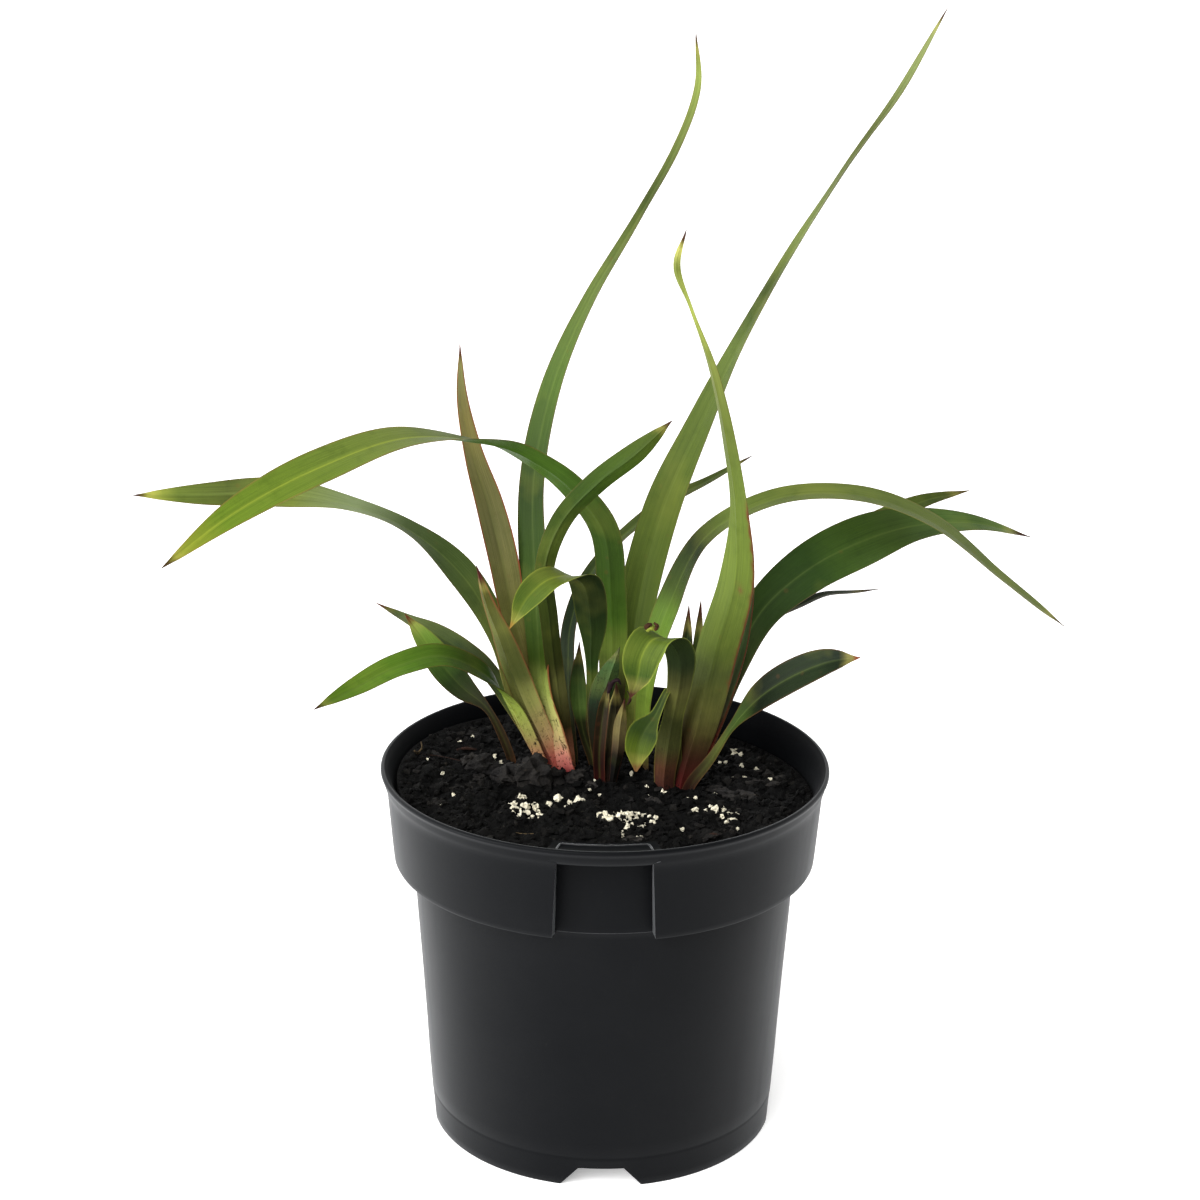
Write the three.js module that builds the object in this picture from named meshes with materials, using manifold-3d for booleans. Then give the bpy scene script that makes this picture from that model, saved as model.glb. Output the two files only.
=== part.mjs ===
// Potted flax lily: a clump of strap-leaved shoots in a round nursery pot.
// Millimetres, +Z up, origin on the pot's axis at the plane it stands on, -Y is the front of the pot.

import * as THREE from 'three';
import { mergeVertices } from 'three/addons/utils/BufferGeometryUtils.js';
import Module from 'manifold-3d';

const wasm = await Module();
wasm.setup();

// Pot
const POT_SIDES = 64;
const POT_WALL = 1.3;
const COLLAR_WALL = 2;
const RIM_RADIUS = 75;
const POT_HEIGHT = 127.4;
const FOOT_RADIUS = 58.3;
const FLOOR_UNDERSIDE = 7.5;
const FLOOR_TOP = 9;
const MIDDLE_RADIUS = 61.7;
const MIDDLE_HEIGHT = 56;
const SHOULDER_RADIUS = 64.4;
const COLLAR_BOTTOM = 95;
const COLLAR_BOTTOM_RADIUS = 70.8;
const COLLAR_TOP = 114;
const COLLAR_TOP_RADIUS = 72.4;
const COLLAR_ROUNDING = 0.7;

// Outside of the pot from the foot up: radius, height
const POT_OUTSIDE = [
  [FOOT_RADIUS, 0],
  [58.75, 9.5],
  [59.8, 25],
  [MIDDLE_RADIUS, MIDDLE_HEIGHT],
  [SHOULDER_RADIUS, COLLAR_BOTTOM],
  [COLLAR_BOTTOM_RADIUS - COLLAR_ROUNDING, COLLAR_BOTTOM],
  [COLLAR_BOTTOM_RADIUS, COLLAR_BOTTOM + COLLAR_ROUNDING],
  [COLLAR_TOP_RADIUS, COLLAR_TOP],
  [73, 119.5],
  [73.9, 123],
  [RIM_RADIUS - 0.3, 125.7],
  [RIM_RADIUS, 126.4],
  [RIM_RADIUS - 0.2, 127.1],
  [RIM_RADIUS - 0.7, POT_HEIGHT],
];

// Inside of the pot from the rim down
const POT_INSIDE = [
  [RIM_RADIUS - 1.6, POT_HEIGHT],
  [72.9, 126.7],
  [71.7, 124.6],
  [70.5, 120.5],
  [COLLAR_TOP_RADIUS - COLLAR_WALL, COLLAR_TOP],
  [COLLAR_BOTTOM_RADIUS - POT_WALL, COLLAR_BOTTOM + POT_WALL],
  [SHOULDER_RADIUS - POT_WALL, COLLAR_BOTTOM + POT_WALL],
  [MIDDLE_RADIUS - POT_WALL, MIDDLE_HEIGHT],
  [FOOT_RADIUS - 0.75, FLOOR_TOP + 1],
  [FOOT_RADIUS - 1.9, FLOOR_TOP],
];

// Recessed panel at the front of the collar
const PANEL_RADIUS = 64.9;
const PANEL_HALF_ANGLE = 13.5;
const PANEL_TOP = 121.8;
const PANEL_CUT_MARGIN = 3;
const LEDGE_TOP = 125.8;
const LEDGE_HALF_ANGLE = 14.8;
const LEDGE_BOTTOM = COLLAR_BOTTOM + 0.7;
const LEDGE_REACH = 70.6;
const ARC_SEGMENTS = 8;

// Drainage: holes through the floor and notches in the foot
const DRAIN_HOLE_RADIUS = 5;
const DRAIN_HOLE_CIRCLE = 38;
const DRAIN_HOLES = 8;
const DRAIN_HOLE_SIDES = 12;
const NOTCH_HEIGHT = 6.6;
const NOTCH_TOP_WIDTH = 15;
const NOTCH_BOTTOM_WIDTH = 27;
const NOTCH_DEPTH = 12;
const NOTCHES = 4;

// Potting mix and what stands in it
const GAP = 0.3;
const SOIL_REACH = 69.9;
const SOIL_MIDDLE = 118.4;
const SOIL_TILT = 3.2;
const SOIL_DISH = 1.6;
const SOIL_TWIST = 2;
const SOIL_RINGS = 11;
const SOIL_SPOKES = 40;
const CRUMB_HEIGHT = 0.9;
const CROWN_BOTTOM = 97;
const CROWN_SIDES = 14;
const CROWN_RISE = 1.6;
const CROWN_SHOULDER = 1;
const CROWN_TOP_SHARE = 0.6;

// The side of the mix, a gap inside the wall of the pot: radius, height
const MIX_SHOULDER = COLLAR_BOTTOM + POT_WALL + GAP;
const MIX_SIDE = [
  [FOOT_RADIUS - 2.2, FLOOR_TOP + GAP],
  [MIDDLE_RADIUS - POT_WALL - 1.5 * GAP, MIDDLE_HEIGHT],
  [SHOULDER_RADIUS - POT_WALL - 1.5 * GAP, MIX_SHOULDER],
  [COLLAR_BOTTOM_RADIUS - POT_WALL - 2 * GAP, MIX_SHOULDER],
  [SOIL_REACH - GAP, 112],
];

// Leaves
const BLADE_THICKNESS = 0.8;
const LEAF_STEP = 9;
const LEAST_STEPS = 6;
const TIP_HALF_WIDTH = 0.4;
const ROOT_DEPTH = 12;
const ROOT_WIDTH_SHARE = 0.8;
const SHEATH_FOLD = 38;
const SHEATH_SHARE = 0.35;
const SLOPE_REACH = 0.01;

const COLOURS = {
  pot: { color: 0x2b2d31, roughness: 0.48, metalness: 0 },
  soil: { color: 0x1b1612, roughness: 0.95, metalness: 0 },
  perlite: { color: 0xe8e2cf, roughness: 0.9, metalness: 0 },
  green: { color: 0x4d7427, roughness: 0.45, metalness: 0 },
  bronze: { color: 0x9a4a3c, roughness: 0.5, metalness: 0 },
};

// Each leaf has a name, the compass heading it leans to in degrees, the V fold of its blade in
// degrees, and its stations from soil to tip: x, y, z, half width, turn about its own length.
const SHOOTS = [
  {
    name: 'shoot_left',
    colour: COLOURS.green,
    crown: { x: -14.5, y: 15, radius: 7.8 },
    leaves: [
      { name: 'tall', heading: 41, fold: 14, stations: [
        [-14, 12.5, 117, 3, 25],
        [-17.3, 11.5, 133, 4.2, 22],
        [-21.8, 12.8, 152, 3.8, 18],
        [-24, 18, 184.5, 5.2, 25],
        [-25, 23, 217, 5.2, 12],
        [-19, 28, 249, 4.4, 8],
        [-6.5, 33, 278, 3.4, -5],
        [9, 38.5, 304, 2.6, -9],
        [21.2, 43, 326, 2, -4],
        [27.9, 46.5, 345, 1.5, 4],
        [27, 50, 362.5, 0.4, 10],
      ] },
      { name: 'bronze_upright', heading: 166, fold: 16, stations: [
        [-17.5, 17.5, 117, 3.2, -40],
        [-22.5, 17, 136.5, 3.8, -40],
        [-26.5, 16.5, 155.5, 3.9, -38],
        [-31.5, 17, 174, 4.9, -43],
        [-35, 18, 193, 5.3, -50],
        [-39.5, 19.5, 211, 5.1, -44],
        [-45, 21, 228.5, 4.1, -30],
        [-48.5, 22.5, 246.5, 2.7, -25],
        [-49, 24, 264.5, 0.4, -20],
      ] },
      { name: 'long_left', heading: -175, fold: 12, stations: [
        [-18.5, 16, 117, 2.8, -60],
        [-28.5, 14, 142.5, 4.4, -65],
        [-36, 14, 167, 5, -48],
        [-48, 14, 188, 5.8, -48],
        [-65.5, 12, 204.5, 5.8, -10],
        [-86.5, 9.5, 214, 5.6, -10],
        [-109, 7, 218, 5.4, -45],
        [-132, 4.5, 218, 4, -45],
        [-154.5, 2, 218.2, 0.4, -45],
      ] },
      { name: 'low_back', heading: 154, fold: 14, stations: [
        [-17.5, 19.5, 117, 2.4, -45],
        [-27, 18, 132, 3, -20],
        [-39.5, 24.5, 149.5, 3.6, -22],
        [-48.5, 29, 155.5, 4.2, -35],
        [-58.5, 33.5, 160.5, 3.8, -30],
        [-69, 37.5, 164.5, 2.4, -10],
        [-79.5, 42, 168.5, 0.4, -10],
      ] },
      { name: 'low_front', heading: -139, fold: 13, stations: [
        [-19.5, 14, 117, 3, -10],
        [-25, 12, 130, 3.3, 5],
        [-31.5, 8.5, 144.5, 3.6, 5],
        [-40, 2, 157.5, 4.3, -42],
        [-53.5, -8, 167.5, 4.4, -42],
        [-67.5, -21, 168.5, 4.5, -30],
        [-80, -34.5, 166, 3.5, -25],
        [-92, -48, 163.5, 0.4, -25],
      ] },
      { name: 'folded', heading: -152, fold: 28, stations: [
        [-16, 14, 117, 3.2, 50],
        [-21, 12.5, 131, 3.9, 47],
        [-26.3, 10.5, 143.5, 4.6, 46],
        [-31, 8, 157, 4.8, 42],
        [-34.8, 3, 170.5, 4, 35],
        [-39.3, -1.5, 184.5, 2.3, 30],
        [-42.5, -6, 198, 0.4, 30],
      ] },
      { name: 'forward_right', heading: -50, fold: 14, stations: [
        [-12.5, 15, 117, 2.8, -30],
        [-15, 13.5, 139, 3, -30],
        [-17.3, 11.5, 157.5, 3, -30],
        [-19, 7.5, 175, 3, -30],
        [-20.5, 2, 194.5, 3.2, -35],
        [-15, -3.5, 212.5, 3.6, -35],
        [-4, -12.5, 228, 4, -40],
        [8.5, -23.5, 241.5, 3.6, -45],
        [19.5, -34, 255, 0.4, -45],
      ] },
      { name: 'thin_back', heading: 47, fold: 16, stations: [
        [-10.8, 18.5, 117, 2.4, 10],
        [-12.6, 24.5, 136, 3, 5],
        [-13.1, 29, 151, 3.3, 0],
        [-12.2, 35, 164.5, 3.3, -5],
        [-6.5, 45, 177.5, 3.1, -5],
        [4.5, 57, 188, 3, -5],
        [20.5, 68, 197.8, 2.8, 10],
        [36, 79, 203, 1.9, 10],
        [51.5, 90, 208.8, 0.4, 10],
      ] },
    ],
  },
  {
    name: 'shoot_left_small',
    colour: COLOURS.green,
    crown: { x: -31.5, y: 17, radius: 3.2 },
    leaves: [
      { name: 'stalked', heading: -175, fold: 10, stations: [
        [-31.5, 17, 118, 1.6, -60],
        [-35, 17.5, 129, 1.6, -60],
        [-40.5, 18, 139.5, 1.5, -60],
        [-48.5, 18.5, 146.5, 4.4, -60],
        [-55.5, 19.5, 154.5, 5.2, -62],
        [-61.5, 20.5, 163, 3.6, -60],
        [-68, 22, 171.5, 0.4, -60],
      ] },
    ],
  },
  {
    name: 'shoot_middle',
    colour: COLOURS.green,
    crown: { x: 0, y: 17, radius: 5.8 },
    leaves: [
      { name: 'great_arch', heading: -140, fold: 11, stations: [
        [1, 18.5, 117, 2.8, 45],
        [2, 21, 138, 4, 45],
        [2.2, 21.5, 158, 4.8, 45],
        [1.5, 20.5, 180, 5, 42],
        [-1, 19.5, 202, 5, 40],
        [-11.5, 17, 217.5, 5, 36],
        [-23.5, 11.5, 228.5, 5.2, 28],
        [-38, 3, 237, 5.8, 14],
        [-64.5, -15.5, 243.5, 6, -16],
        [-90, -39, 240, 6.2, -36],
        [-112.5, -63.5, 233, 4.3, -45],
        [-131.5, -88, 223, 0.4, -50],
      ] },
      { name: 'nodding', heading: -130, fold: 14, stations: [
        [-1.5, 15, 117, 2.6, 20],
        [-3.8, 13.5, 137, 2.8, 20],
        [-4.8, 12, 157.5, 2.2, 20],
        [-5, 8.5, 174.5, 5.2, 30],
        [-8, 1.5, 191, 5.8, 20],
        [-17.5, -8, 195, 4.8, -22],
        [-25.5, -14, 190.3, 4.2, -40],
        [-31.3, -19, 181, 0.4, -35],
      ] },
      { name: 'young_back', heading: 111, fold: 22, stations: [
        [-3, 18, 117, 1.8, -20],
        [-7.6, 19.2, 131, 1.6, -20],
        [-9.4, 20.6, 145.5, 2.9, -20],
        [-9.1, 23, 161.8, 0.4, -20],
      ] },
      { name: 'young_front', heading: -28, fold: 18, stations: [
        [-0.5, 14.5, 117, 2.2, -45],
        [-2, 12.5, 135.5, 3.8, -45],
        [0, 10.5, 151, 4.5, -45],
        [4.5, 9, 165, 0.4, -45],
      ] },
    ],
  },
  {
    name: 'shoot_bud',
    colour: COLOURS.bronze,
    crown: { x: 0.4, y: 4.6, radius: 4.1 },
    leaves: [
      { name: 'bud', heading: -42, fold: 30, stations: [
        [-1.6, 5, 117, 1.8, 128],
        [-2, 4, 130, 2, 128],
        [-0.8, 3.3, 144.5, 1.9, 128],
        [1, 2.5, 155.5, 0.4, 128],
      ] },
      { name: 'bud_fold', heading: -90, fold: 30, stations: [
        [1, 5.5, 117, 2, 0],
        [2, 5.5, 129, 2.6, 0],
        [3.3, 5, 142, 2.8, 0],
        [3.5, 4.5, 154, 0.4, 0],
      ] },
      { name: 'bud_scale', heading: -90, fold: 24, stations: [
        [2.4, 3, 117, 1.2, 0],
        [4.2, 3, 130, 2.1, 0],
        [5, 3, 140, 2.1, 0],
        [6.4, 3, 149, 0.4, 0],
      ] },
    ],
  },
  {
    name: 'shoot_back',
    colour: COLOURS.green,
    crown: { x: 6, y: 31, radius: 5 },
    leaves: [
      { name: 'tallest', heading: 28, fold: 13, stations: [
        [6, 30.5, 117, 3.2, 40],
        [7.5, 29.5, 140, 5.2, 40],
        [10.5, 30.5, 173, 6.8, 38],
        [18.5, 35, 205, 6.8, 32],
        [31, 41, 234, 6, 12],
        [45, 48.5, 262.5, 4.8, -8],
        [61, 57, 289.5, 3.8, -12],
        [78, 66.5, 315, 2.8, -20],
        [96.6, 76, 340, 2.2, 0],
        [112.5, 85, 367, 0.4, 10],
      ] },
    ],
  },
  {
    name: 'shoot_arching',
    colour: COLOURS.green,
    crown: { x: 13, y: 17, radius: 4.4 },
    leaves: [
      { name: 'long_right', heading: -3, fold: 12, stations: [
        [13, 17, 118, 2.6, 60],
        [13, 16, 140, 3.4, 50],
        [15.5, 15, 160, 4.4, 48],
        [20.5, 13.5, 178, 5.2, 45],
        [32, 12.5, 202.5, 5.6, 20],
        [55, 10, 217, 5.6, 12],
        [82, 8.5, 219, 5.6, 11],
        [107.5, 9, 209.5, 5.2, 10],
        [129.5, 9.5, 191.5, 3.9, 8],
        [143, 10, 180.8, 2.7, 8],
        [152.5, 10, 173.5, 0.4, 8],
      ] },
    ],
  },
  {
    name: 'shoot_right',
    colour: COLOURS.green,
    crown: { x: 24.5, y: 5, radius: 8.5 },
    leaves: [
      { name: 'wavy_upright', heading: -109, fold: 14, stations: [
        [26, 3.5, 118, 3.8, 0],
        [31.5, 2.5, 141.5, 6.2, 5],
        [36.5, 0.5, 167, 6.9, 5],
        [42, -2, 192, 6.1, -5],
        [42, -5.5, 217.5, 4.2, -28],
        [38, -7.5, 242, 3.4, -34],
        [32.5, -7, 265, 2.2, -36],
        [25.5, -6, 283.5, 1.3, -40],
        [20.7, -6, 297, 1.3, -10],
        [23.5, -6, 309, 0.4, 0],
      ] },
      { name: 'broad_right', heading: 13, fold: 10, stations: [
        [27.5, 5, 118, 3.4, 60],
        [34.5, 6.5, 135.5, 3.8, 55],
        [42.2, 10.5, 156.5, 4.6, 55],
        [51.5, 15.5, 175.5, 6.4, 55],
        [66.5, 19.5, 189, 8.3, 55],
        [84, 23.5, 197.8, 8.8, 55],
        [102.5, 27, 203, 7.4, 30],
        [123, 30.5, 203, 4.8, 18],
        [143.5, 34, 197, 0.4, 15],
      ] },
      { name: 'behind_right', heading: 29, fold: 12, stations: [
        [28.5, 8.5, 118, 2, 40],
        [32, 14, 131, 2.6, 25],
        [37.5, 20, 146, 3, 15],
        [43.5, 26, 162, 3.6, 15],
        [50.5, 32, 172, 4.2, 20],
        [72.5, 43, 187, 4.6, 20],
        [90, 48, 196, 4.6, 22],
        [107.5, 54, 203, 3.2, 25],
        [125.5, 62, 205, 0.4, 25],
      ] },
      { name: 'thin_right', heading: 31, fold: 16, stations: [
        [27, 7.5, 118, 1.8, 20],
        [34, 12, 131, 2, 15],
        [39, 17, 145, 2.2, 10],
        [44.8, 22.5, 159, 2.4, 0],
        [55, 29, 168, 2.6, 0],
        [66, 34, 172, 2.5, 0],
        [75, 38, 174.5, 2.2, 0],
        [86, 42, 174.2, 1.5, 0],
        [94, 46, 174, 0.4, 0],
      ] },
      { name: 'low_right', heading: -35, fold: 12, stations: [
        [28.5, 1, 118, 2.2, 80],
        [35.5, -3.5, 130.5, 1.9, 70],
        [42, -7.5, 143.5, 2, 55],
        [49.5, -14.5, 156, 5, 60],
        [59, -21.5, 166, 5.6, 65],
        [70, -28.8, 174, 4.6, 60],
        [80.5, -36, 178.5, 0.4, 60],
      ] },
      { name: 'hanging', heading: -115, fold: 12, stations: [
        [20, 2.5, 118, 3.4, 20],
        [21, 0, 133, 4.2, 22],
        [22.5, -2.5, 145, 3.4, 22],
        [24.3, -5.5, 158, 4.2, 22],
        [24.2, -9, 168.5, 5, 15],
        [20.5, -13, 176, 5.6, 0],
        [15, -17.5, 177.5, 6.2, -15],
        [11.3, -21, 172.5, 6.2, -25],
        [10, -23, 166, 4.3, -25],
        [7.8, -25, 159.5, 0.4, -25],
      ] },
      { name: 'short_bent', heading: -125, fold: 12, stations: [
        [24, 5, 118, 2.2, 10],
        [23.5, 3, 134, 2, 10],
        [23, 0.5, 148, 1.6, 5],
        [21, -3, 155, 1.3, 0],
        [16.5, -5.5, 146.5, 1.9, -15],
        [12.8, -7.5, 141.3, 5, -25],
        [10.8, -9.5, 135.5, 4.4, -25],
        [10.2, -11, 128.5, 1.4, -25],
      ] },
      { name: 'red_spike', heading: 11, fold: 24, stations: [
        [28.5, 4, 118, 1.8, 60],
        [38, 6, 142, 2.2, 60],
        [44.2, 7, 163, 2.2, 60],
        [46.8, 7.5, 178, 1.7, 60],
        [48.6, 8, 192.5, 0.4, 60],
      ] },
      { name: 'spike_one', heading: 63, fold: 24, stations: [
        [23, 6.5, 118, 1.5, 26],
        [25, 6, 145, 2.2, 26],
        [26.5, 6, 163, 2.3, 26],
        [27.2, 6.5, 181, 0.4, 26],
      ] },
      { name: 'spike_two', heading: 56, fold: 24, stations: [
        [25, 8, 118, 1.5, 33],
        [28.5, 7, 145, 2, 33],
        [30.3, 7.5, 163.5, 1.9, 33],
        [31.2, 8.5, 182, 0.4, 33],
      ] },
    ],
  },
];

// Perlite lies in patches on the mix: centre, reach along x and y, and how many grains
const PERLITE_PATCHES = [
  { name: 'perlite_front_left', x: -25.5, y: -27, reach: [6, 8], grains: 14 },
  { name: 'perlite_front_middle', x: 8, y: -26, reach: [10, 7], grains: 15 },
  { name: 'perlite_front_right', x: 40, y: -17, reach: [3.5, 6], grains: 8 },
  { name: 'perlite_back_left', x: -39.5, y: 22.5, reach: [3, 4.5], grains: 6 },
];
const GRAIN_RADIUS = 1.7;
const GRAIN_SPACING = 1.5 * GRAIN_RADIUS;
const GRAIN_FLATNESS = 0.85;
const GRAIN_ROUGHNESS = 0.3;
const GRAIN_SEED = 100;

// Lumps of bark and charcoal that stand out of the mix
const LUMPS = [
  { x: -25, y: 0, size: [6, 5, 4.5] },
  { x: -37, y: 6, size: [5, 4, 3.5] },
  { x: 48, y: 30, size: [5, 6, 3] },
  { x: -8, y: -38, size: [5, 4, 3] },
  { x: 32, y: -34, size: [4, 5, 2.5] },
];
const LUMP_ROUGHNESS = 0.35;
const LUMP_SEED = 5;
const CRUMB_SEED = 11;

const DEGREE = Math.PI / 180;
const SAME_PLACE = 1e-4;

// Repeatable random numbers between 0 and 1
function seededRandom(seed) {
  let state = seed;
  return () => {
    state = (state * 1664525 + 1013904223) % 4294967296;
    return state / 4294967296;
  };
}

// A closed geometry, with its shared corners merged, as a solid
function toSolid(geometry) {
  const bare = geometry.clone();
  bare.deleteAttribute('normal');
  bare.deleteAttribute('uv');
  const merged = mergeVertices(bare, SAME_PLACE);
  const index = merged.getIndex().array;
  const triangles = [];
  for (let i = 0; i < index.length; i += 3) {
    const [a, b, c] = [index[i], index[i + 1], index[i + 2]];
    if (a !== b && b !== c && c !== a) triangles.push(a, b, c);
  }
  const solid = new wasm.Manifold(new wasm.Mesh({
    numProp: 3,
    vertProperties: new Float32Array(merged.getAttribute('position').array),
    triVerts: new Uint32Array(triangles),
  }));
  if (solid.volume() <= 0) throw new Error('a solid is inside out');
  return solid;
}

// A solid as a named mesh with its own material
function toMesh(solid, name, colour) {
  const { vertProperties, triVerts } = solid.getMesh();
  const geometry = new THREE.BufferGeometry();
  geometry.setAttribute('position', new THREE.BufferAttribute(vertProperties, 3));
  geometry.setIndex(new THREE.BufferAttribute(triVerts, 1));
  geometry.computeVertexNormals();
  const mesh = new THREE.Mesh(geometry, new THREE.MeshStandardMaterial(colour));
  mesh.name = name;
  return mesh;
}

// A profile of [radius, height] points turned about the Z axis
function turned(profile, sides) {
  const points = profile.map(([radius, height]) => new THREE.Vector2(radius, height));
  return new THREE.LatheGeometry(points, sides).rotateX(Math.PI / 2);
}

// A block between two radii and two heights, either side of the front of the pot
function sector(innerRadius, outerRadius, halfAngle, bottom, top) {
  const front = -90 * DEGREE;
  const half = halfAngle * DEGREE;
  const shape = new THREE.Shape();
  shape.absarc(0, 0, outerRadius, front - half, front + half, false);
  shape.absarc(0, 0, innerRadius, front + half, front - half, true);
  shape.closePath();
  const settings = { depth: top - bottom, bevelEnabled: false, curveSegments: ARC_SEGMENTS };
  return toSolid(new THREE.ExtrudeGeometry(shape, settings).translate(0, 0, bottom));
}

// A trapezoid notch through the foot, pointing along -Y before it is turned
function footNotch() {
  const shape = new THREE.Shape();
  shape.moveTo(-NOTCH_BOTTOM_WIDTH / 2, -1);
  shape.lineTo(NOTCH_BOTTOM_WIDTH / 2, -1);
  shape.lineTo(NOTCH_TOP_WIDTH / 2, NOTCH_HEIGHT);
  shape.lineTo(-NOTCH_TOP_WIDTH / 2, NOTCH_HEIGHT);
  shape.closePath();
  const notch = new THREE.ExtrudeGeometry(shape, { depth: NOTCH_DEPTH, bevelEnabled: false });
  return notch.rotateX(Math.PI / 2).translate(0, NOTCH_DEPTH / 2 - FOOT_RADIUS, 0);
}

// The whole pot: wall, floor, rim, panel, ledge, foot notches and drain holes
function pot() {
  const footInside = FOOT_RADIUS - POT_WALL;
  const underside = [[0, FLOOR_UNDERSIDE], [footInside, FLOOR_UNDERSIDE], [footInside, 0]];
  const profile = [...underside, ...POT_OUTSIDE, ...POT_INSIDE, [0, FLOOR_TOP]];
  let solid = toSolid(turned(profile, POT_SIDES));
  const ledgeInside = PANEL_RADIUS - POT_WALL;
  solid = solid.add(sector(ledgeInside, LEDGE_REACH, LEDGE_HALF_ANGLE, LEDGE_BOTTOM, LEDGE_TOP));
  const cutBottom = COLLAR_BOTTOM - PANEL_CUT_MARGIN;
  solid = solid.subtract(sector(PANEL_RADIUS, RIM_RADIUS, PANEL_HALF_ANGLE, cutBottom, PANEL_TOP));
  for (let i = 0; i < NOTCHES; i += 1) {
    const turn = (i / NOTCHES) * 2 * Math.PI;
    solid = solid.subtract(toSolid(footNotch().rotateZ(turn)));
  }
  for (let i = 0; i < DRAIN_HOLES; i += 1) {
    const angle = ((i + 0.5) / DRAIN_HOLES) * 2 * Math.PI;
    const x = DRAIN_HOLE_CIRCLE * Math.cos(angle);
    const y = DRAIN_HOLE_CIRCLE * Math.sin(angle);
    const size = [DRAIN_HOLE_RADIUS, DRAIN_HOLE_RADIUS, FLOOR_TOP, DRAIN_HOLE_SIDES];
    const hole = new THREE.CylinderGeometry(...size).rotateX(Math.PI / 2);
    solid = solid.subtract(toSolid(hole.translate(x, y, FLOOR_TOP)));
  }
  return toMesh(solid, 'pot', COLOURS.pot);
}

// Height of the mix: banked up on the left, lower at the back right
function soilHeight(x, y) {
  const u = x / SOIL_REACH;
  const v = y / SOIL_REACH;
  return SOIL_MIDDLE - SOIL_TILT * u + SOIL_DISH * u * u - SOIL_TWIST * u * v;
}

// The body of the mix: wall rings from the floor up, then the crumbly top
function soilBody() {
  const random = seededRandom(CRUMB_SEED);
  const rings = [];
  for (const [radius, height] of MIX_SIDE) {
    rings.push((angle) => [radius * Math.cos(angle), radius * Math.sin(angle), height]);
  }
  for (let ring = SOIL_RINGS; ring > 0; ring -= 1) {
    rings.push((angle) => {
      const reach = (ring / SOIL_RINGS) * SOIL_REACH;
      const x = reach * Math.cos(angle);
      const y = reach * Math.sin(angle);
      return [x, y, soilHeight(x, y) + (random() - 0.5) * 2 * CRUMB_HEIGHT];
    });
  }
  const vertices = [];
  for (const ring of rings) {
    for (let spoke = 0; spoke < SOIL_SPOKES; spoke += 1) {
      vertices.push(...ring((spoke / SOIL_SPOKES) * 2 * Math.PI));
    }
  }
  const floorCentre = vertices.length / 3;
  vertices.push(0, 0, FLOOR_TOP + GAP);
  const topCentre = floorCentre + 1;
  vertices.push(0, 0, SOIL_MIDDLE);
  const index = [];
  for (let ring = 0; ring + 1 < rings.length; ring += 1) {
    for (let spoke = 0; spoke < SOIL_SPOKES; spoke += 1) {
      const next = (spoke + 1) % SOIL_SPOKES;
      const a = ring * SOIL_SPOKES + spoke;
      const b = ring * SOIL_SPOKES + next;
      const c = a + SOIL_SPOKES;
      const d = b + SOIL_SPOKES;
      index.push(a, b, d, a, d, c);
    }
  }
  const last = (rings.length - 1) * SOIL_SPOKES;
  for (let spoke = 0; spoke < SOIL_SPOKES; spoke += 1) {
    const next = (spoke + 1) % SOIL_SPOKES;
    index.push(floorCentre, next, spoke);
    index.push(topCentre, last + spoke, last + next);
  }
  return indexedSolid(vertices, index);
}

// A solid from corner coordinates and the triangles between them
function indexedSolid(vertices, index) {
  const geometry = new THREE.BufferGeometry();
  geometry.setAttribute('position', new THREE.Float32BufferAttribute(vertices, 3));
  geometry.setIndex(index);
  return toSolid(geometry);
}

// A rough angular lump with its corners pushed in and out
function lump(random, size, roughness) {
  const geometry = new THREE.OctahedronGeometry(1, 0);
  geometry.deleteAttribute('normal');
  geometry.deleteAttribute('uv');
  const merged = mergeVertices(geometry, SAME_PLACE);
  const position = merged.getAttribute('position');
  for (let i = 0; i < position.count; i += 1) {
    const push = 1 + (random() - 0.5) * roughness;
    position.setXYZ(i, position.getX(i) * push, position.getY(i) * push, position.getZ(i) * push);
  }
  return merged.scale(...size).rotateZ(random() * 2 * Math.PI);
}

// Perlite grains of one patch: each touches the one it was set beside, so the patch holds together
function perliteGrains(patch, seed, swell) {
  const random = seededRandom(seed);
  const places = [[patch.x, patch.y]];
  while (places.length < patch.grains) {
    const [x, y] = places[Math.floor(random() * places.length)];
    const angle = random() * 2 * Math.PI;
    const nextX = x + GRAIN_SPACING * Math.cos(angle);
    const nextY = y + GRAIN_SPACING * Math.sin(angle);
    const [reachX, reachY] = patch.reach;
    const inside = ((nextX - patch.x) / reachX) ** 2 + ((nextY - patch.y) / reachY) ** 2 < 1;
    if (inside) places.push([nextX, nextY]);
  }
  let solid = null;
  for (const [x, y] of places) {
    const size = GRAIN_RADIUS * (0.85 + 0.35 * random());
    const extents = [size + swell, size + swell, size * GRAIN_FLATNESS + swell];
    const grain = lump(random, extents, GRAIN_ROUGHNESS);
    grain.translate(x, y, soilHeight(x, y) + 0.9 + 0.4 * random());
    const grainSolid = toSolid(grain);
    solid = solid ? solid.add(grainSolid) : grainSolid;
  }
  return solid;
}

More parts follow.
